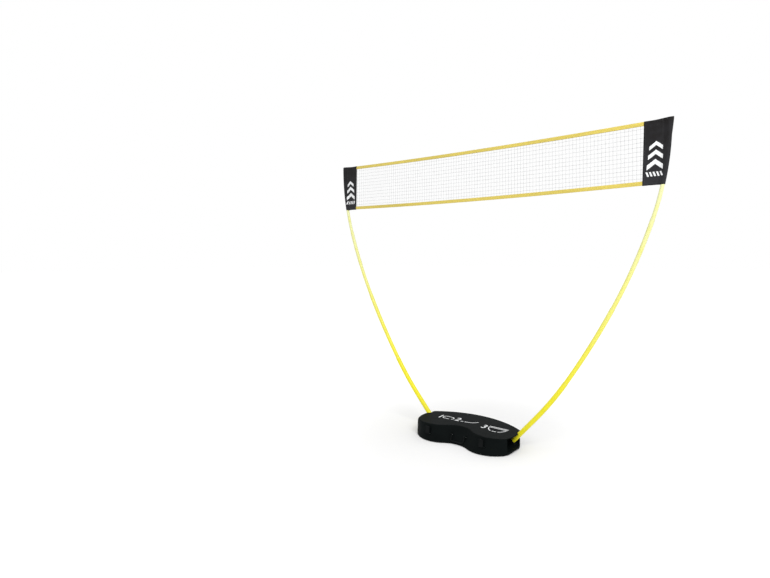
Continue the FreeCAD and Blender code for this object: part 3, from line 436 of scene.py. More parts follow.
def sewing_thread(name, colour):
    """Twisted thread, a little brighter than the cloth that it is sewn in."""
    finish = Finish(name, {"Sheen Weight": 0.2})
    ply = finish.speckle(finish.place(), 2600)
    plied = finish.mix(ply, shade(colour, 0.75), shade(colour, 1.2))
    return finish.coat(plied, 0.55 + ply * 0.1, ply, 0.0001)


# The panels' print, in metres from the panel's foot and from its middle line.
# A chevron has the height of its tip's lower edge, its reach to each side and its stroke.
CHEVRONS = ((0.245, 0.040, 0.024), (0.190, 0.044, 0.027), (0.130, 0.048, 0.030))
CHEVRON_SLOPE = 0.75
BAR_SLANT = 0.45
BAR_PITCH = 0.021
BAR_WIDTH = 0.011
BAR_HEIGHT = 0.068
BAR_DEPTH = 0.028
BAR_REACH = 2 * BAR_PITCH + BAR_WIDTH / 2


def chevron_print(finish, panel):
    """Where the white print lies: three stacked chevrons over a band of five slanted bars."""
    x, _, z = finish.parts(finish.place())
    foot_x, top_x = panel.middle_x(panel.foot), panel.middle_x(panel.top)
    up = z - panel.foot
    off = x * panel.side - up * ((top_x - foot_x) / panel.height) - foot_x
    ink = None
    for base, reach, stroke in CHEVRONS:
        lift = up - base + abs(off) * CHEVRON_SLOPE
        mark = (abs(lift - stroke / 2) < stroke / 2) * (abs(off) < reach)
        ink = mark if ink is None else finish.math("MAXIMUM", ink, mark)
    slant = off + (up - BAR_HEIGHT) * BAR_SLANT
    stripe = finish.math("PINGPONG", slant, BAR_PITCH / 2) < BAR_WIDTH / 2
    band = (abs(up - BAR_HEIGHT) < BAR_DEPTH / 2) * (abs(slant) < BAR_REACH)
    return finish.math("MAXIMUM", ink, stripe * band)


def panel_cloth(name, colours, panel):
    """Coated charcoal cloth, paler towards its foot, with a white print."""
    finish = Finish(name, {"Sheen Weight": 0.02, "Specular IOR Level": 0.06})
    across, along = finish.cloth_place()
    weave = woven(finish, across, along, PANEL_THREADS)
    place = finish.place()
    z = finish.parts(place)[2]
    height = z.rise(PANEL_LOW.z - 0.1, PANEL_HIGH.z)
    cloud = finish.speckle(place, 22, 4.0)
    crease = finish.streaks(place, (70.0, 70.0, 12.0), 3.0)
    body = finish.mix(height, colours.panel_grey, colours.panel_dark)
    body = finish.mix(cloud.rise(0.3, 0.8) * 0.4, body, shade(colours.panel_grey, 1.15))
    ink = chevron_print(finish, panel)
    wear = 1.0 - finish.speckle(place, 260, 5.0).rise(0.66, 0.74) * 0.45
    colour = finish.mix(ink * wear, body, colours.print_white)
    return finish.coat(colour, 0.62 - ink * 0.12 + cloud * 0.1, weave * 0.4 + crease * 2.0, 0.0003)


def print_ink(name, colour):
    """White ink rolled on the lid, thin in places."""
    finish = Finish(name, {"Specular IOR Level": 0.3})
    thin = finish.speckle(finish.place(), 240, 5.0).rise(0.55, 0.75)
    worn = finish.mix(thin * 0.5, colour, shade(colour, 0.5))
    return finish.coat(worn, 0.5 + thin * 0.2, thin, 0.00005)


def link_piece(name, mesh):
    piece = bpy.data.objects.new(name, mesh)
    bpy.context.scene.collection.objects.link(piece)
    return piece


def seat_piece(piece, body="base"):
    """The piece moves with a body."""
    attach(piece, body)
    return piece


def paint_nodes(names, material):
    """Gives the construction's own pieces a better material."""
    for name in names:
        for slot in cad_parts[name].material_slots:
            slot.material = material


def surface_mesh(name, points, reading):
    """A mesh over rows of points. Reading gives each point's metres across and along."""
    rows, columns = len(points), len(points[0])
    corners = [point for row in points for point in row]
    faces, marks = [], []
    for row in range(rows - 1):
        for column in range(columns - 1):
            quad = ((row, column), (row, column + 1), (row + 1, column + 1), (row + 1, column))
            faces.append([r * columns + c for r, c in quad])
            marks.extend(reading[r][c] for r, c in quad)
    mesh = bpy.data.meshes.new(name)
    mesh.from_pydata(corners, [], faces)
    layer = mesh.uv_layers.new(name="cloth")
    for loop, mark in zip(layer.data, marks):
        loop.uv = mark
    mesh.shade_smooth()
    mesh.update()
    return mesh


def measured(points):
    """Metres across and along for rows of points, each row measured along itself."""
    reading, along = [], 0.0
    middle = len(points[0]) // 2
    for number, row in enumerate(points):
        if number:
            along += (row[middle] - points[number - 1][middle]).length
        across, line = 0.0, []
        for place, point in enumerate(row):
            if place:
                across += (point - row[place - 1]).length
            line.append((across, along))
        reading.append(line)
    return reading


def cloth_piece(name, points, thickness, material):
    """A sheet of cloth through rows of points, with its thickness."""
    piece = link_piece(name, surface_mesh(name, points, measured(points)))
    piece.data.materials.append(material)
    wall = piece.modifiers.new("thickness", "SOLIDIFY")
    wall.thickness = thickness
    wall.offset = 0
    return piece


def lines_mesh(name, lines):
    """Edges along each line of points, for what follows them."""
    corners, edges = [], []
    for line in lines:
        start = len(corners)
        corners.extend(line)
        edges.extend((start + step, start + step + 1) for step in range(len(line) - 1))
    mesh = bpy.data.meshes.new(name)
    mesh.from_pydata(corners, edges, [])
    return mesh


def new_grower(name, **sockets):
    """A geometry tree with inputs by type: its graph, and the node that gives their fields."""
    tree = bpy.data.node_groups.new(name, "GeometryNodeTree")
    for kind, labels in {"Geometry": "Geometry", **sockets}.items():
        for label in labels.split():
            tree.interface.new_socket(label, in_out="INPUT", socket_type="NodeSocket" + kind)
    tree.interface.new_socket("Geometry", in_out="OUTPUT", socket_type="NodeSocketGeometry")
    graph = Graph(tree)
    return graph, graph.node("NodeGroupInput")


def end_grower(graph, geometry, material):
    """Realizes what the tree made and gives it its material."""
    real = graph.node("GeometryNodeRealizeInstances", inputs={"Geometry": geometry})[0]
    smooth = graph.node("GeometryNodeSetShadeSmooth", inputs={"Geometry": real})[0]
    dressed = graph.node("GeometryNodeSetMaterial", inputs={
        "Geometry": smooth, "Material": material})[0]
    graph.node("NodeGroupOutput", inputs={0: dressed})
    return graph.tree


def grown_piece(name, mesh, tree, values):
    """A piece that a geometry tree makes from a mesh, as a plain mesh."""
    piece = link_piece(name, mesh)
    grow = piece.modifiers.new("grow", "NODES")
    grow.node_group = tree
    for item in tree.interface.items_tree:
        if item.in_out == "INPUT" and item.name in values:
            grow[item.identifier] = values[item.name]
    bpy.context.view_layer.update()
    evaluated = piece.evaluated_get(bpy.context.evaluated_depsgraph_get())
    plain = bpy.data.meshes.new_from_object(evaluated)
    piece.modifiers.clear()
    piece.data = plain
    if not plain.polygons:
        raise RuntimeError("nothing grew for %s" % name)
    return piece


# A stitch or knot before it is scaled, and the shape of the twine
BEAD = {"Segments": 6, "Rings": 4, "Radius": 1.0}
STRAND_POINTS = 5
BOW_SCALE = 55.0
TWINE_SIDES = 5
KNOT_WANDER = (0.0008, 0.0003, 0.0008)
KNOT_STRETCH = 1.35


def stitch_tree():
    """Stitches laid end to end along each edge line of the input mesh."""
    graph, sizes = new_grower("stitches", Float="Pitch Stitch Thread", Material="Material")
    seam = graph.node("GeometryNodeMeshToCurve", inputs={"Mesh": sizes["Geometry"]})[0]
    spots = graph.node(
        "GeometryNodeCurveToPoints", {"mode": "LENGTH"}, {"Curve": seam, "Length": sizes["Pitch"]})
    bead = graph.node("GeometryNodeMeshUVSphere", inputs=BEAD)[0]
    size = graph.joined(sizes["Thread"], sizes["Thread"], sizes["Stitch"] / 2)
    sewn = graph.node("GeometryNodeInstanceOnPoints", inputs={
        "Points": spots["Points"], "Instance": bead, "Rotation": spots["Rotation"], "Scale": size})[0]
    return end_grower(graph, sewn, sizes["Material"])


def netting_tree():
    """Square-mesh netting: strands between knots, hanging in the sag of its tapes."""
    graph, sizes = new_grower(
        "netting", Int="Columns Rows", Float="Width Height Sag Twine Knot Slack Edge",
        Vector="Middle", Material="Material")
    grid = graph.node("GeometryNodeMeshGrid", inputs={
        "Size X": sizes["Width"], "Size Y": sizes["Height"],
        "Vertices X": sizes["Columns"] + 1, "Vertices Y": sizes["Rows"] + 1})["Mesh"]
    at_x, at_y, at_z = graph.parts(graph.node("GeometryNodeInputPosition")[0])
    reach = at_x / (sizes["Width"] / 2)
    drop = sizes["Sag"] * (1.0 - reach * reach)
    wander = graph.node(
        "FunctionNodeRandomValue", {"data_type": "FLOAT_VECTOR"},
        {0: tuple(-reach for reach in KNOT_WANDER), 1: KNOT_WANDER, "Seed": 7})[0]
    hung = graph.vector("ADD", graph.joined(at_x, 0.0, at_y - drop), sizes["Middle"])
    placed = graph.vector("ADD", hung, wander)
    net = graph.node("GeometryNodeSetPosition", inputs={"Geometry": grid, "Position": placed})[0]
    strands = graph.node("GeometryNodeMeshToCurve", inputs={"Mesh": net})[0]
    strands = graph.node(
        "GeometryNodeResampleCurve", {"mode": "COUNT"}, {"Curve": strands, "Count": STRAND_POINTS})[0]
    share = graph.node("GeometryNodeSplineParameter")["Factor"]
    bow = share * (1.0 - share) * 4.0 * sizes["Slack"]
    where = graph.node("GeometryNodeInputPosition")[0]
    turn = graph.node("ShaderNodeTexNoise", inputs={
        "Vector": where, "Scale": BOW_SCALE, "Detail": 1.0})["Color"]
    push = graph.scaled(graph.vector("SUBTRACT", turn, (0.5, 0.5, 0.75)), bow * 2.0)
    strands = graph.node("GeometryNodeSetPosition", inputs={"Geometry": strands, "Offset": push})[0]
    ring = graph.node("GeometryNodeCurvePrimitiveCircle", inputs={
        "Resolution": TWINE_SIDES, "Radius": sizes["Twine"]})[0]
    twine = graph.node("GeometryNodeCurveToMesh", inputs={
        "Curve": strands, "Profile Curve": ring, "Fill Caps": True})[0]
    bead = graph.node("GeometryNodeMeshUVSphere", inputs=BEAD)[0]
    spin = graph.node(
        "FunctionNodeRandomValue", {"data_type": "FLOAT_VECTOR"},
        {0: (-0.5, -0.5, -3.1), 1: (0.5, 0.5, 3.1), "Seed": 11})[0]
    full = graph.node(
        "FunctionNodeRandomValue", {"data_type": "FLOAT"}, {2: 0.85, 3: 1.15, "Seed": 5})[1]
    lump = graph.scaled(graph.joined(sizes["Knot"], sizes["Knot"], sizes["Knot"] * KNOT_STRETCH), full)
    middle_z = graph.parts(sizes["Middle"])[2]
    shows_x = abs(at_x) < sizes["Width"] / 2 - sizes["Edge"]
    shows_z = abs(at_z - middle_z + drop) < sizes["Height"] / 2 - sizes["Edge"]
    knots = graph.node("GeometryNodeInstanceOnPoints", inputs={
        "Points": net, "Selection": shows_x * shows_z, "Instance": bead,
        "Rotation": spin, "Scale": lump})[0]
    both = graph.node("GeometryNodeJoinGeometry", inputs={0: [twine, knots]})[0]
    return end_grower(graph, both, sizes["Material"])


def smooth_step(value):
    """0 below 0 and 1 above 1, with a smooth step between them."""
    value = min(1.0, max(0.0, value))
    return value * value * (3 - 2 * value)


def net_sag(sizes):
    """How much lower the strip hangs in its middle than at its ends."""
    return TOP_TAPE_HIGH.z - TOP_TAPE_LOW.z - sizes.tape_width


def sag_at(sizes, x):
    return net_sag(sizes) * (1 - (x / NET_HALF) ** 2)


def wave(x, z, seed, x_scale=3.1, z_scale=5.0):
    """A slow, repeatable unevenness from about -1 to 1."""
    return noise.noise(Vector((x * x_scale, z * z_scale, seed)))


TAPE_FLANK_STEPS = 6
TAPE_BEND_STEPS = 6
TAPE_STEP = 0.010
TAPE_STITCH_INSET = 0.0035
TAPE_SWAY = 0.25
TACK_ROWS = (0.003, 0.005, 0.007)


class Tape:
    """A tape folded over an edge of the netting. Way is -1 where it opens downwards."""

    def __init__(self, sizes, edge_z, way, seed):
        self.sizes = sizes
        self.edge_z = edge_z
        self.way = way
        self.seed = seed

    def point(self, x, depth, across):
        """A point of the tape: its depth from the fold, and how far it stands off the middle."""
        sway = self.sizes.ripple * TAPE_SWAY * wave(x, self.edge_z, self.seed)
        pucker = self.sizes.ripple * TAPE_SWAY * wave(x, 0.0, self.seed + 5.0, 46.0)
        z = self.edge_z - sag_at(self.sizes, x) + self.way * depth
        return Vector((x, NET_PLANE + across + sway, z + pucker * depth / self.sizes.tape_width))

    def section(self):
        """Depth and stand-off of the folded tape's outline, from one open edge to the other."""
        gap, width = self.sizes.tape_gap, self.sizes.tape_width
        flank = [width + (gap - width) * step / TAPE_FLANK_STEPS for step in range(TAPE_FLANK_STEPS)]
        outline = [(depth, -gap) for depth in flank]
        for step in range(TAPE_BEND_STEPS + 1):
            angle = math.pi * step / TAPE_BEND_STEPS
            outline.append((gap - gap * math.sin(angle), -gap * math.cos(angle)))
        return outline + [(depth, gap) for depth in reversed(flank)]

    def places(self):
        count = round(2 * NET_HALF / TAPE_STEP)
        return [-NET_HALF + 2 * NET_HALF * step / count for step in range(count + 1)]

    def rows(self):
        section = self.section()
        return [[self.point(x, depth, across) for depth, across in section] for x in self.places()]

    def seams(self):
        """Lines of stitches near the open edges, on both faces, and a tack across each end."""
        sizes = self.sizes
        stand = sizes.tape_gap + sizes.cloth / 2 + sizes.thread_radius * 0.4
        lines = []
        for face in (-1, 1):
            depth = sizes.tape_width - TAPE_STITCH_INSET
            lines.append([self.point(x, depth, face * stand) for x in self.places()])
            for end in (-1, 1):
                for row in TACK_ROWS:
                    x = end * (NET_HALF - row)
                    across = (TAPE_STITCH_INSET, sizes.tape_width / 2, depth)
                    lines.append([self.point(x, level, face * stand) for level in across])
        return lines

    def cut_size(self):
        """Width and length of the flat tape."""
        width = 2 * (self.sizes.tape_width - self.sizes.tape_gap) + math.pi * self.sizes.tape_gap
        return width, 2 * NET_HALF


PANEL_COLUMNS = 14
PANEL_ROW_STEP = 0.010
SLEEVE_SIDE_STEPS = 5
SLEEVE_ARC_STEPS = 22
CLOSE_HEIGHT = 0.003
CLOSE_STEPS = 4
HEM_STEP = 0.0006
LAYER_GAP = 0.0004
HEM_THICKNESS = 0.0004
# How loose the layers lie: at the seams, and from how far off one
SEAMED = 0.4
LOOSE_FROM = 0.02
PANEL_RIPPLE = 1.8
# Where the hem's stitches run, and the two rows beside the sleeve
HEM_STITCH_INSET = 0.0022
SLEEVE_SEAMS = (0.0012, 0.0062)
SEAM_STEPS = 60
# How far the open foot reaches below the solid's, so that it hides the tape's fold
FOOT_COVER = 0.0015
# Over which the layers close beside a tape, and past the end of the netting
FILLING_EASE = 0.006
FILLING_FALL = 0.018
# The room for a slack strand, in its own radii
STRAND_ROOM = 2.2
# How far the top of a panel's inner edge stands out from its middle, and its foot stands in
EDGE_SLANTS = {-1: -0.0035, 1: 0.006}
# How far the sleeve's top corner is pressed out past the pole, and how far down that starts
CORNER_FLARES = {-1: 0.0, 1: 0.010}
FLARE_DEPTH = 0.10


class EndPanel:
    """An end panel and its sleeve: one cloth from the netting round the pole and back."""

    def __init__(self, sizes, side):
        self.sizes = sizes
        self.side = side
        self.foot, self.top = PANEL_LOW.z - FOOT_COVER, PANEL_HIGH.z
        self.height = self.top - self.foot

    def inner_x(self, z):
        slant = EDGE_SLANTS[self.side] * (2 * (z - self.foot) / self.height - 1)
        return NET_HALF - self.sizes.panel_tuck + slant

    def pole_x(self, z):
        return BEND_CENTRE_X + math.sqrt(TOP_BEND ** 2 - (BEND_CENTRE_Z - z) ** 2)

    def middle_x(self, z):
        return (self.inner_x(z) + self.pole_x(z) + self.sizes.sleeve_radius) / 2

    def seam_x(self, z):
        return self.pole_x(z) - self.sizes.sleeve_reach

    def set_point(self, x, stand, z):
        return Vector((self.side * x, NET_PLANE + stand, z))

    def ripple(self, x, z):
        """How far both layers sway together: least at the edges that are held."""
        share = (x - NET_HALF) / (self.seam_x(z) - NET_HALF)
        held = math.sin(math.pi * min(1.0, max(0.0, share))) ** 0.6
        folds = wave(x, z, 20.0 + self.side, 16.0, 7.0) + 0.5 * wave(x, z, 31.0, 48.0, 14.0)
        return self.sizes.ripple * PANEL_RIPPLE * held * folds

    def stand_off(self, x, z):
        """Half the distance between the middles of the two layers."""
        up, off = z - self.foot, x - self.inner_x(z)
        seam = self.seam_x(z) - x
        near = min(up, self.top - z, seam)
        loose = smooth_step(near / LOOSE_FROM)
        edge = min(up, self.top - z, off)
        hemmed = 1 - smooth_step((edge - self.sizes.hem) / HEM_STEP + 0.5)
        inside = self.filling(x, min(up, self.top - z))
        return self.sizes.cloth / 2 + LAYER_GAP * (SEAMED + loose) + HEM_THICKNESS * hemmed + inside

    def filling(self, x, level):
        """Half the thickness of the netting, or of a tape, that ends between the layers."""
        taped = 1 - smooth_step((level - self.sizes.tape_width) / FILLING_EASE)
        strand = self.sizes.twine_radius * STRAND_ROOM
        thick = max(strand, (self.sizes.tape_gap + self.sizes.cloth) * taped)
        return thick * (1 - smooth_step((x - NET_HALF) / FILLING_FALL))

    def layer_point(self, x, z, face, lift=0.0):
        """A point on the front (-1) or back (1) layer."""
        return self.set_point(x, self.ripple(x, z) + face * (self.stand_off(x, z) + lift), z)

    def sleeve_section(self):
        """Offsets from the pole's middle round the sleeve, from the front seam to the back one."""
        radius, reach = self.sizes.sleeve_radius, self.sizes.sleeve_reach
        meet = math.acos(radius / reach)
        tip = self.sizes.cloth / 2 + LAYER_GAP * SEAMED
        sweep = 2 * (math.pi - meet)
        start = (-radius * math.cos(meet), -radius * math.sin(meet))
        front = []
        for step in range(1, SLEEVE_SIDE_STEPS):
            share = step / SLEEVE_SIDE_STEPS
            front.append((-reach + (start[0] + reach) * share, -tip + (start[1] + tip) * share))
        arc = []
        for step in range(SLEEVE_ARC_STEPS + 1):
            angle = math.pi + meet + sweep * step / SLEEVE_ARC_STEPS
            arc.append((radius * math.cos(angle), radius * math.sin(angle)))
        return front + arc + [(off, -stand) for off, stand in reversed(front)]

    def levels(self):
        """Heights of the rows below the closed top, close together at the hems."""
        hem = self.sizes.hem
        low = [0.0, hem - HEM_STEP / 2, hem + HEM_STEP / 2]
        high = [self.height - hem - HEM_STEP / 2, self.height - hem + HEM_STEP / 2]
        count = round((high[0] - low[-1]) / PANEL_ROW_STEP)
        middle = [low[-1] + (high[0] - low[-1]) * step / count for step in range(1, count)]
        return low + middle + high + [self.height - CLOSE_HEIGHT]

    def columns(self, z):
        """Places across one layer, from the netting to the seam, close together at the hem."""
        hem, inner = self.sizes.hem, self.inner_x(z)
        first = [inner, inner + hem - HEM_STEP / 2, inner + hem + HEM_STEP / 2]
        reach = self.seam_x(z) - first[-1]
        steps = range(1, PANEL_COLUMNS + 1)
        return first + [first[-1] + reach * step / PANEL_COLUMNS for step in steps]

    def row(self, z, closing=0.0):
        """One row round the cloth. Closing goes from 0 to 1 over the sewn top."""
        flat = self.columns(z)
        inner, seam, pole = self.inner_x(z), self.seam_x(z), self.pole_x(z)
        across = [(x, self.ripple(x, z), -self.stand_off(x, z)) for x in flat]
        flare = CORNER_FLARES[self.side] * max(0.0, 1 - (self.top - z) / FLARE_DEPTH)
        round_pole = []
        for off, stand in self.sleeve_section():
            past = smooth_step(off / self.sizes.sleeve_radius)
            round_pole.append((pole + off + flare * past, 0.0, stand))
        back = [(x, sway, -stand) for x, sway, stand in reversed(across)]
        line = []
        for x, sway, stand in across + round_pole + back:
            rise = self.sizes.sleeve_rise * smooth_step((x - inner) / (seam - inner) - 0.35)
            lift = (CLOSE_HEIGHT + rise) * math.sin(closing * math.pi / 2)
            least = self.sizes.cloth / 2
            closed = max(abs(stand) * math.cos(closing * math.pi / 2), least)
            line.append(self.set_point(x, sway + math.copysign(closed, stand), z + lift))
        return line

    def rows(self):
        lines = [self.row(self.foot + level) for level in self.levels()]
        top = self.foot + self.levels()[-1]
        return lines + [self.row(top, step / CLOSE_STEPS) for step in range(1, CLOSE_STEPS + 1)]

    def seams(self):
        """Stitch lines along the hems and twice beside the sleeve, on both layers."""
        lift = self.sizes.cloth / 2 + self.sizes.thread_radius * 0.3
        inset = self.sizes.hem - HEM_STITCH_INSET
        low, high = self.foot + inset, self.top - inset
        shares = [step / SEAM_STEPS for step in range(SEAM_STEPS + 1)]
        heights = [low + (high - low) * share for share in shares]
        lines = []
        for face in (-1, 1):
            for z in (low, high):
                start = self.inner_x(z) + inset
                reach = self.seam_x(z) - start
                line = [start + reach * share for share in shares]
                lines.append([self.layer_point(x, z, face, lift) for x in line])
            lines.append([self.layer_point(self.inner_x(z) + inset, z, face, lift) for z in heights])
            for back in SLEEVE_SEAMS:
                lines.append([self.layer_point(self.seam_x(z) - back, z, face, lift) for z in heights])
        return lines

    def cut_size(self):
        """The flat cloth: its width and length, and its area, which tapers to the foot."""
        section = self.sleeve_section()
        around = sum(math.dist(a, b) for a, b in zip(section, section[1:]))
        widths = [2 * (self.seam_x(z) - self.inner_x(z)) + around for z in (self.top, self.foot)]
        return (widths[0], self.height), sum(widths) / 2 * self.height


def sewn_piece(name, lines, sizes, material):
    """Stitches along lines of points."""
    values = {
        "Pitch": sizes.stitch_pitch,
        "Stitch": sizes.stitch_length,
        "Thread": sizes.thread_radius,
        "Material": material,
    }
    tree = bpy.data.node_groups.get("stitches") or stitch_tree()
    return grown_piece(name, lines_mesh(name, lines), tree, values)


# The lid's print: step numbers and line drawings, in metres on the lid's flat top
DIGIT_HEIGHT = 0.062
DIGIT_SHARE = 0.7    # a digit's height in the font's own size
DIGIT_BOLD = 0.0014
INK_THICKNESS = 0.00012
LINE_WIDTH = 0.0072
# Each step's number, then its drawing's place
STEP_PLACES = (
    ((-0.272, 0.008), (-0.201, 0.014)),
    ((-0.112, 0.020), (-0.006, 0.014)),
    ((0.142, 0.002), (0.250, -0.018)),
)


def arc_line(centre, radius, start, end, steps=10):
    """Points along an arc, with its angles in degrees."""
    angles = [math.radians(start + (end - start) * step / steps) for step in range(steps + 1)]
    return [(centre[0] + radius * math.cos(a), centre[1] + radius * math.sin(a)) for a in angles]


def case_drawing():
    """The closed case from above, as a rounded outline that is open at one corner."""
    right = arc_line((0.026, 0), 0.022, -60, 90)
    left = arc_line((-0.026, 0), 0.022, 90, 270)
    return [right + left + [(0.020, -0.022)]]


def pole_drawing():
    """One bowed pole, and a short line for the case that it rises from."""
    pole = arc_line((-0.020, 0.090), 0.095, -100, -32, 14)
    return [pole, [(-0.070, -0.010), (-0.046, -0.010)]]


def net_drawing():
    """The strip over its two bowed poles, with gaps between the lines as in a stencil."""
    right = arc_line((0.002, 0.044), 0.072, -68, -12)
    left = [(-x, y) for x, y in right]
    strip = [[(-0.080, y), (0.080, y)] for y in (0.038, 0.054)]
    return [right, left, [(-0.018, -0.024), (0.018, -0.024)]] + strip


def mitre(line, place):
    """From a point of a line to the left edge of its ink, along the mitre."""
    point = Vector(line[place])
    before, after = Vector(line[max(place - 1, 0)]), Vector(line[min(place + 1, len(line) - 1)])
    first, second = point - before, after - point
    first = (first if first.length else second).normalized()
    second = (second if second.length else first).normalized()
    along = (first + second).normalized()
    return Vector((-along.y, along.x)) * (LINE_WIDTH / 2 / max(0.5, along.dot(first)))


def drawing_mesh(name, lines, top_z):
    """Each line as one flat closed ribbon of ink."""
    corners, faces = [], []
    for line in lines:
        start = len(corners)
        for place, (x, y) in enumerate(line):
            side = mitre(line, place)
            edges = [(x - side.x, y - side.y), (x + side.x, y + side.y)]
            corners += [(*edge, top_z) for edge in edges]
            corners += [(*edge, top_z - INK_THICKNESS) for edge in reversed(edges)]
        end = len(corners) - 4
        faces += [[start, start + 1, start + 2, start + 3], [end + 3, end + 2, end + 1, end]]
        for ring in range(start, end, 4):
            for corner in range(4):
                after = (corner + 1) % 4
                faces.append([ring + corner, ring + 4 + corner, ring + 4 + after, ring + after])
    mesh = bpy.data.meshes.new(name)
    mesh.from_pydata(corners, [], faces)
    return mesh


def digit_mesh(text, place, top_z):
    """A plain number as a thin slab, set flat on the lid."""
    words = bpy.data.curves.new("digit", "FONT")
    words.body = text
    words.size = DIGIT_HEIGHT / DIGIT_SHARE
    words.align_x = "CENTER"
    words.align_y = "CENTER"
    words.extrude = INK_THICKNESS / 2
    words.offset = DIGIT_BOLD
    words.resolution_u = 6
    holder = link_piece("digit", words)
    bpy.context.view_layer.update()
    evaluated = holder.evaluated_get(bpy.context.evaluated_depsgraph_get())
    mesh = bpy.data.meshes.new_from_object(evaluated)
    bpy.data.objects.remove(holder)
    mesh.transform(Matrix.Translation((place[0], place[1], top_z - INK_THICKNESS / 2)))
    return mesh


def joined_mesh(name, meshes):
    """One mesh out of several."""
    corners, faces = [], []
    for mesh in meshes:
        start = len(corners)
        corners += [vertex.co.copy() for vertex in mesh.vertices]
        faces += [[start + corner for corner in face.vertices] for face in mesh.polygons]
    whole = bpy.data.meshes.new(name)
    whole.from_pydata(corners, [], faces)
    return whole


# The photo's camera: its place, its heading in degrees, its rise per metre and its shift
CAMERA_PLACE = (2.0446, -2.9568, 1.3701)
CAMERA_HEADING = 33.28
CAMERA_RISE = 0.0076
CAMERA_SHIFT = (-0.1234, -0.0442)
# Each lamp's place and side, and what they face
KEY_LAMP = ((4.4, -3.0, 4.8), 3.5)
FILL_LAMP = ((-3.6, -3.6, 4.0), 3.0)
LAMP_AIM = (0, 0, 0.7)


def place_camera(stage):
    camera = bpy.data.objects.new("camera", bpy.data.cameras.new("camera"))
    bpy.context.scene.collection.objects.link(camera)
    camera.data.lens = stage.lens
    camera.data.sensor_width = 36
    camera.data.shift_x, camera.data.shift_y = CAMERA_SHIFT
    camera.data.clip_start, camera.data.clip_end = 0.05, 200
    heading = math.radians(CAMERA_HEADING)
    ahead = Vector((-math.sin(heading), math.cos(heading), CAMERA_RISE))
    camera.rotation_mode = "QUATERNION"
    camera.rotation_quaternion = ahead.to_track_quat("-Z", "Y")
    camera.location = CAMERA_PLACE
    bpy.context.scene.camera = camera


def seen_ray(graph):
    """1 for rays from the camera and for what gloss and glass show, 0 for the light on surfaces."""
    path = graph.node("ShaderNodeLightPath")
    seen = graph.math("MAXIMUM", path["Is Camera Ray"], path["Is Glossy Ray"])
    return graph.math("MAXIMUM", seen, path["Is Transmission Ray"])


def light_world(stage):
    world = bpy.data.worlds.new("studio")
    world.use_nodes = True
    bpy.context.scene.world = world
    graph = Graph(world.node_tree)
    seen = seen_ray(graph)
    background = world.node_tree.nodes["Background"]
    background.inputs["Color"].default_value = (1, 1, 1, 1)
    graph.feed(background.inputs["Strength"], seen + (1 - seen) * stage.daylight)


def hang_lamp(name, power, place, size):
    """A square soft lamp that faces the middle of the object."""
    lamp = bpy.data.lights.new(name, "AREA")
    lamp.energy = power
    lamp.size = size
    hung = bpy.data.objects.new(name, lamp)
    bpy.context.scene.collection.objects.link(hung)
    hung.location = place
    aim = Vector(LAMP_AIM) - Vector(place)
    hung.rotation_mode = "QUATERNION"
    hung.rotation_quaternion = aim.to_track_quat("-Z", "Y")


# Distances from the object between which the floor takes its far glow
FAR_FLOOR = (0.45, 2.2)


def lay_floor(stage):
    half = stage.floor_half
    mesh = bpy.data.meshes.new("floor")
    corners = [(-half, -half, 0), (half, -half, 0), (half, half, 0), (-half, half, 0)]
    mesh.from_pydata(corners, [], [(0, 1, 2, 3)])
    floor = link_piece("floor", mesh)
    finish = Finish("floor_paper", {"Specular IOR Level": 0.0, "Emission Strength": 1.0})
    place = finish.place()
    x, y, _ = finish.parts(place)
    away = ((x * x + y * y) ** 0.5).rise(*FAR_FLOOR)
    glow = finish.mix(away, (stage.floor_glow,) * 3, (stage.far_glow,) * 3)
    finish.feed(finish.shader.inputs["Emission Color"], finish.mix(seen_ray(finish), (0, 0, 0), glow))
    fibre = finish.speckle(place, 30)
    paper = finish.mix(fibre, (0.84, 0.84, 0.84), (0.86, 0.86, 0.86))
    mesh.materials.append(finish.coat(paper, 0.9))


class NETSET_OT_stage(bpy.types.Operator):
    """Sets up the camera, the floor and the light"""

    bl_idname = "netset.stage"
    bl_label = "Stage"

    def execute(self, context):
        scene = context.scene
        scene.view_settings.view_transform = "Standard"
        stage = scene.net_stage
        place_camera(stage)
        light_world(stage)
        hang_lamp("key_lamp", stage.key_power, *KEY_LAMP)
        hang_lamp("fill_lamp", stage.fill_power, *FILL_LAMP)
        lay_floor(stage)
        return {"FINISHED"}


class NETSET_OT_case(bpy.types.Operator):
    """Finishes the moulded case and its lid"""

    bl_idname = "netset.case"
    bl_label = "Case"

    def execute(self, context):
        colours = context.scene.net_colours
        plastic = moulded_black("case_plastic_skin", colours.case_black, 1100, 0.022)
        paint_nodes(["case_base", "case_lid"], plastic)
        return {"FINISHED"}


class NETSET_OT_lid_print(bpy.types.Operator):
    """Prints step numbers and line drawings on the lid"""

    bl_idname = "netset.lid_print"
    bl_label = "Lid print"

    def execute(self, context):
        ink = print_ink("lid_ink", context.scene.net_colours.print_white)
        top_z = LID_TOP + INK_THICKNESS
        digits, lines = [], []
        drawings = (case_drawing(), pole_drawing(), net_drawing())
        for step, ((place, middle), drawing) in enumerate(zip(STEP_PLACES, drawings), start=1):
            digits.append(digit_mesh(str(step), place, top_z))
            lines += [[(middle[0] + x, middle[1] + y) for x, y in line] for line in drawing]
        numbers = link_piece("lid_numbers", joined_mesh("lid_numbers", digits))
        drawings = link_piece("lid_drawings", drawing_mesh("lid_drawings", lines, top_z))
        for piece in (numbers, drawings):
            piece.data.materials.append(ink)
            seat_piece(piece, "lid")
        return {"FINISHED"}


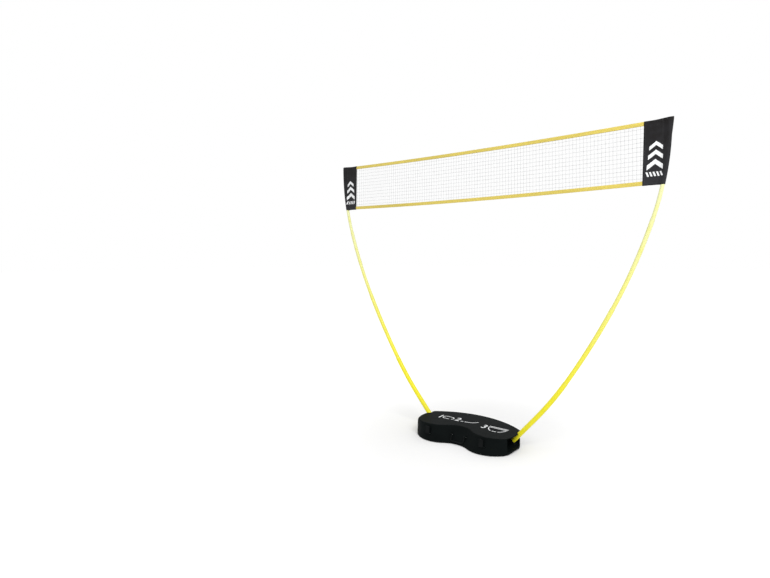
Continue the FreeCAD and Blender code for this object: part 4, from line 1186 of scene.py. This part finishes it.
class NETSET_OT_fittings(bpy.types.Operator):
    """Finishes latches, handle, brackets, plugs, pins, screws and feet"""

    bl_idname = "netset.fittings"
    bl_label = "Fittings"

    def execute(self, context):
        colours = context.scene.net_colours
        moulded = ["latch_left", "latch_right", "carry_handle"]
        for side in SIDES:
            moulded += ["pole_bracket_" + side, "pole_plug_" + side, "pole_stops_" + side]
        fitting = moulded_black("fitting_plastic", colours.fitting_black, 1500, 0.04)
        paint_nodes(moulded, fitting)
        steel = brushed_steel("plated_steel", colours.steel_grey)
        paint_nodes(["lid_hinge_pins", "latch_pins", "handle_pins", "bracket_screws"], steel)
        paint_nodes(["rubber_feet"], foot_rubber("foot_rubber", colours.rubber_black))
        return {"FINISHED"}


class NETSET_OT_poles(bpy.types.Operator):
    """Paints the pole segments"""

    bl_idname = "netset.poles"
    bl_label = "Poles"

    def execute(self, context):
        colours = context.scene.net_colours
        for side, sign in SIDES.items():
            for part, (x, z, lean) in zip(POLE_PARTS, pole_rims()):
                direction = (sign * math.cos(lean), math.sin(lean))
                name = "pole_paint_%s_%s" % (side, part)
                paint = pole_paint(name, colours, (sign * x, z), direction)
                paint_nodes(["pole_%s_%s" % (side, part)], paint)
        return {"FINISHED"}


def pole_rims():
    """Where each segment of the right pole ends, and its lean there."""
    lean = ROOT_LEAN
    x = ROOT_LOW.x + ROOT_RADIUS * math.sin(lean) + ROOT_STRAIGHT * math.cos(lean)
    z = ROOT_LOW.z + ROOT_RADIUS * math.cos(lean) + ROOT_STRAIGHT * math.sin(lean)
    rims = []
    lengths = [SEGMENT_LENGTH - ROOT_STRAIGHT] + [SEGMENT_LENGTH] * (len(SEGMENT_TURNS) - 1)
    for length, turn in zip(lengths, SEGMENT_TURNS):
        bend = length / turn
        x += bend * (math.sin(lean + turn) - math.sin(lean))
        z += bend * (math.cos(lean) - math.cos(lean + turn))
        lean += turn
        rims.append((x, z, lean))
    return rims


class NETSET_OT_netting(bpy.types.Operator):
    """Knots the netting between the tapes"""

    bl_idname = "netset.netting"
    bl_label = "Netting"

    def execute(self, context):
        sizes = context.scene.net_sizes
        high = TOP_TAPE_HIGH.z - sizes.tape_width + sizes.tuck
        low = BOTTOM_TAPE_HIGH.z - sizes.tuck
        values = {
            "Columns": sizes.columns,
            "Rows": sizes.rows,
            "Width": 2 * (NET_HALF - sizes.twine_radius),
            "Height": high - low,
            "Middle": (0, NET_PLANE, (high + low) / 2),
            "Sag": net_sag(sizes),
            "Twine": sizes.twine_radius,
            "Knot": sizes.knot_radius,
            "Slack": sizes.slack,
            "Edge": sizes.tuck,
            "Material": knotted_twine("netting_twine", context.scene.net_colours.twine_grey),
        }
        netting = grown_piece("netting", bpy.data.meshes.new("netting"), netting_tree(), values)
        seat_piece(netting)
        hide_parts("net_mesh")
        return {"FINISHED"}


class NETSET_OT_tapes(bpy.types.Operator):
    """Folds the golden tapes over the netting's long edges and sews them"""

    bl_idname = "netset.tapes"
    bl_label = "Tapes"

    def execute(self, context):
        sizes, colours = context.scene.net_sizes, context.scene.net_colours
        top = Tape(sizes, TOP_TAPE_HIGH.z, -1, 3.0)
        bottom = Tape(sizes, BOTTOM_TAPE_HIGH.z - sizes.tape_width, 1, 8.0)
        cloth = tape_cloth("tape_weave", colours.tape_gold, top.cut_size()[0])
        thread = sewing_thread("tape_thread", colours.thread_gold)
        for name, tape in (("top_tape", top), ("bottom_tape", bottom)):
            piece = cloth_piece(name + "_cloth", tape.rows(), sizes.cloth, cloth)
            stitches = sewn_piece(name + "_stitches", tape.seams(), sizes, thread)
            seat_piece(piece)
            seat_piece(stitches)
            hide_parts(name)
            tape.cut_size()
        return {"FINISHED"}


class NETSET_OT_panels(bpy.types.Operator):
    """Sews the end panels round the tops of the poles"""

    bl_idname = "netset.panels"
    bl_label = "End panels"

    def execute(self, context):
        sizes, colours = context.scene.net_sizes, context.scene.net_colours
        thread = sewing_thread("panel_thread", colours.thread_black)
        for side, sign in SIDES.items():
            panel = EndPanel(sizes, sign)
            cloth = panel_cloth("panel_weave_" + side, colours, panel)
            piece = cloth_piece("panel_cloth_" + side, panel.rows(), sizes.cloth, cloth)
            stitches = sewn_piece("panel_stitches_" + side, panel.seams(), sizes, thread)
            seat_piece(piece)
            seat_piece(stitches)
            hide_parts("end_panel_" + side, "pole_pocket_" + side)
            flat, area = panel.cut_size()
        return {"FINISHED"}


class NETSET_PT_steps(bpy.types.Panel):
    """The steps that dress the net set, and their sizes and colours"""

    bl_idname = "NETSET_PT_steps"
    bl_label = "Net set"
    bl_space_type = "VIEW_3D"
    bl_region_type = "UI"
    bl_category = "Net set"

    def draw(self, context):
        for step in STEPS:
            self.layout.operator("netset." + step)
        for group in (context.scene.net_sizes, context.scene.net_colours, context.scene.net_stage):
            box = self.layout.box()
            for name in group.__annotations__:
                box.prop(group, name)


STEPS = ("stage", "case", "lid_print", "fittings", "poles", "netting", "tapes", "panels")
CLASSES = (
    NetSizes, FinishColours, StageSizes,
    NETSET_OT_stage, NETSET_OT_case, NETSET_OT_lid_print, NETSET_OT_fittings,
    NETSET_OT_poles, NETSET_OT_netting, NETSET_OT_tapes, NETSET_OT_panels,
    NETSET_PT_steps,
)


def register():
    for kind in CLASSES:
        bpy.utils.register_class(kind)
    bpy.types.Scene.net_sizes = PointerProperty(type=NetSizes)
    bpy.types.Scene.net_colours = PointerProperty(type=FinishColours)
    bpy.types.Scene.net_stage = PointerProperty(type=StageSizes)


def unregister():
    del bpy.types.Scene.net_stage
    del bpy.types.Scene.net_colours
    del bpy.types.Scene.net_sizes
    for kind in reversed(CLASSES):
        bpy.utils.unregister_class(kind)


def main():
    register()
    for step in STEPS:
        getattr(bpy.ops.netset, step)()


if __name__ == "__main__":
    main()
